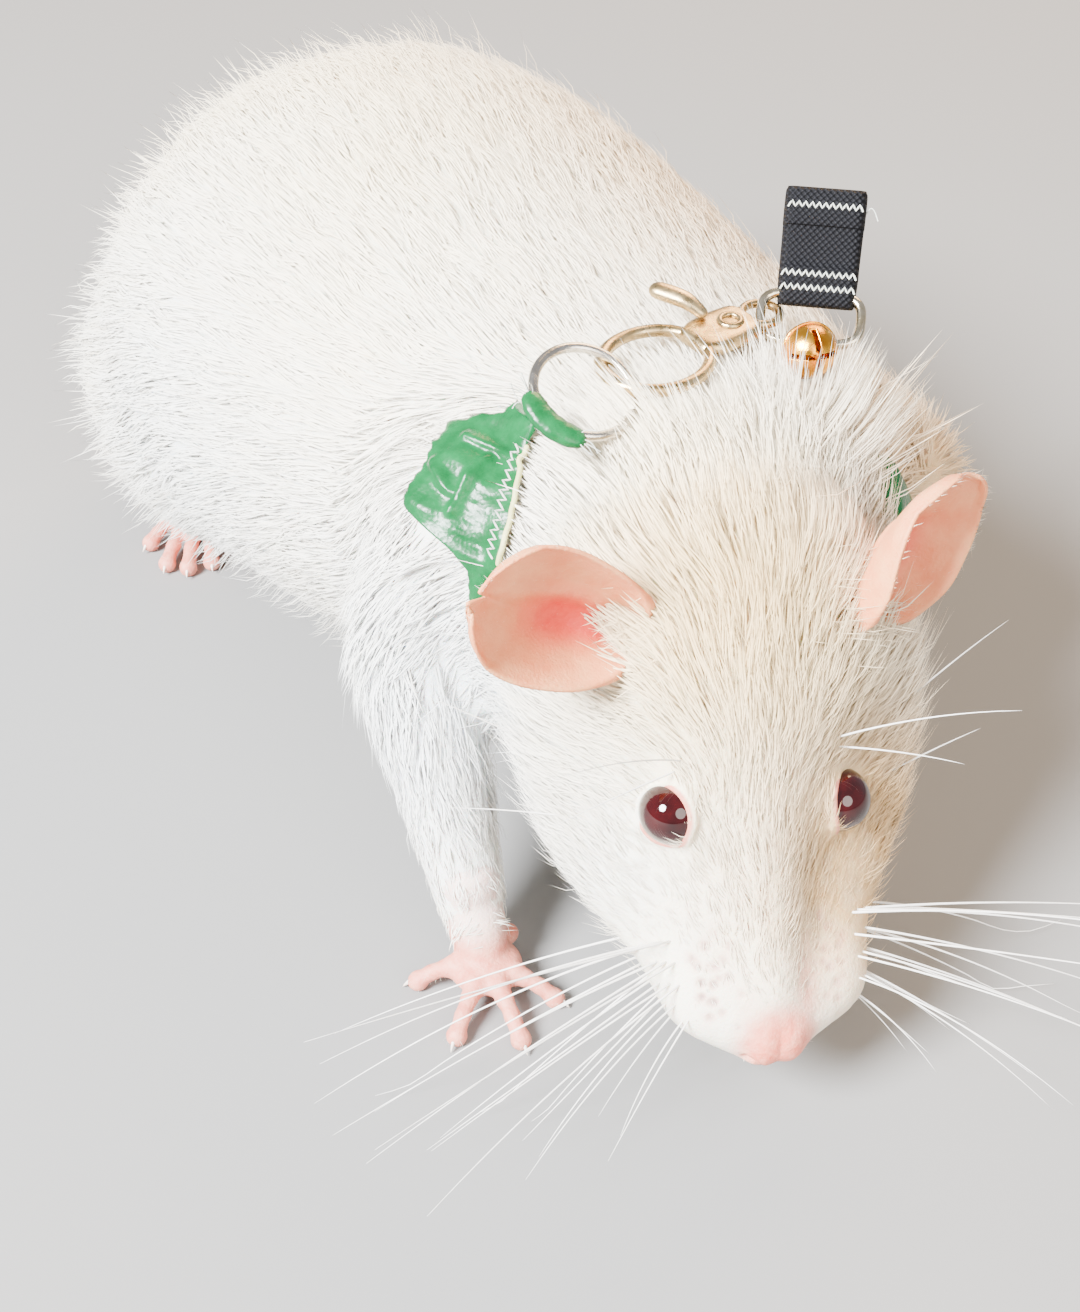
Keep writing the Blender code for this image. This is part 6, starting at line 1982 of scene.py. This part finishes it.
# %% Rows of whiskers
for side in (-1, 1):
    for row in range(WHISKER_ROWS):
        for column in range(WHISKER_COLUMNS):
            back = 0.62 * column + 0.12 * row
            spot = (10.0, -12.8 - 2.3 * column + 0.3 * row, -6.0 - 1.55 * row)
            if rng.random() < SHED_SHARE:
                continue
            way = (1.0, -0.02 - 0.30 * back + rng.normal() * 0.06, 0.44 - 0.19 * row + rng.normal() * 0.08)
            length = WHISKER_LENGTHS[column] * (1.0 - 0.06 * row) * rng.uniform(0.86, 1.04)
            droop = 0.14 * length * rng.uniform(0.3, 1.8)
            make_whisker(side, spot, way, length, droop, WHISKER_RADIUS * (1.0 - 0.08 * column))
    for spot, way, length in BROW_AND_CHEEK:
        make_whisker(side, spot, way, length, 0.08 * length, WHISKER_RADIUS * 0.75)
    for k in range(CHIN_HAIRS):
        spot = (0.8 + 0.9 * k, -23.0 + 1.3 * k, -15.5)
        way = (0.25 + 0.06 * k, -0.5, -0.9)
        make_whisker(side, spot, way, rng.uniform(2.5, 5.0), 0.6, CHIN_RADIUS)
settle(joined("whiskers", whisker_parts), "coat", whisker_look)


# %% [markdown]
# ## Eyes
# A white rat's eye is dark ruby: light that gets in comes back red. Each eyeball is a fine ball with
# a smooth wet coat over a nearly black red.

# %% Eyes
WET_SHARE, WET_ROUGHNESS, EYE_SHINE = 0.7, 0.02, 0.2
dark_ruby, ruby = (0.009, 0.0006, 0.001), (0.028, 0.0015, 0.002)
eye_look, tree, shader = mottled_look("dark_ruby_eye", 500.0, dark_ruby, ruby, 700.0, 0.03, 0.07)
shader.inputs["Coat Weight"].default_value = WET_SHARE
shader.inputs["Coat Roughness"].default_value = WET_ROUGHNESS
shader.inputs["Specular IOR Level"].default_value = EYE_SHINE
for side, name in ((-1, "eye_right"), (1, "eye_left")):
    eye = ball(name + "_ball", eye_centre(side), (EYE_RADIUS,) * 3, segments=64)
    settle(eye, "eye", eye_look, name)

# %% Claws
claw_look = mottled_look("claw_horn", 1500.0, (0.80, 0.66, 0.56), (0.92, 0.82, 0.74), 900.0, 0.25, 0.4)[0]
settle(joined("claws", claw_parts), "paw_skin", claw_look)

# %% [markdown]
# ## Finish
# The dressed rat has to stay within the solids' own size.

# %% Finish
bpy.context.view_layer.update()
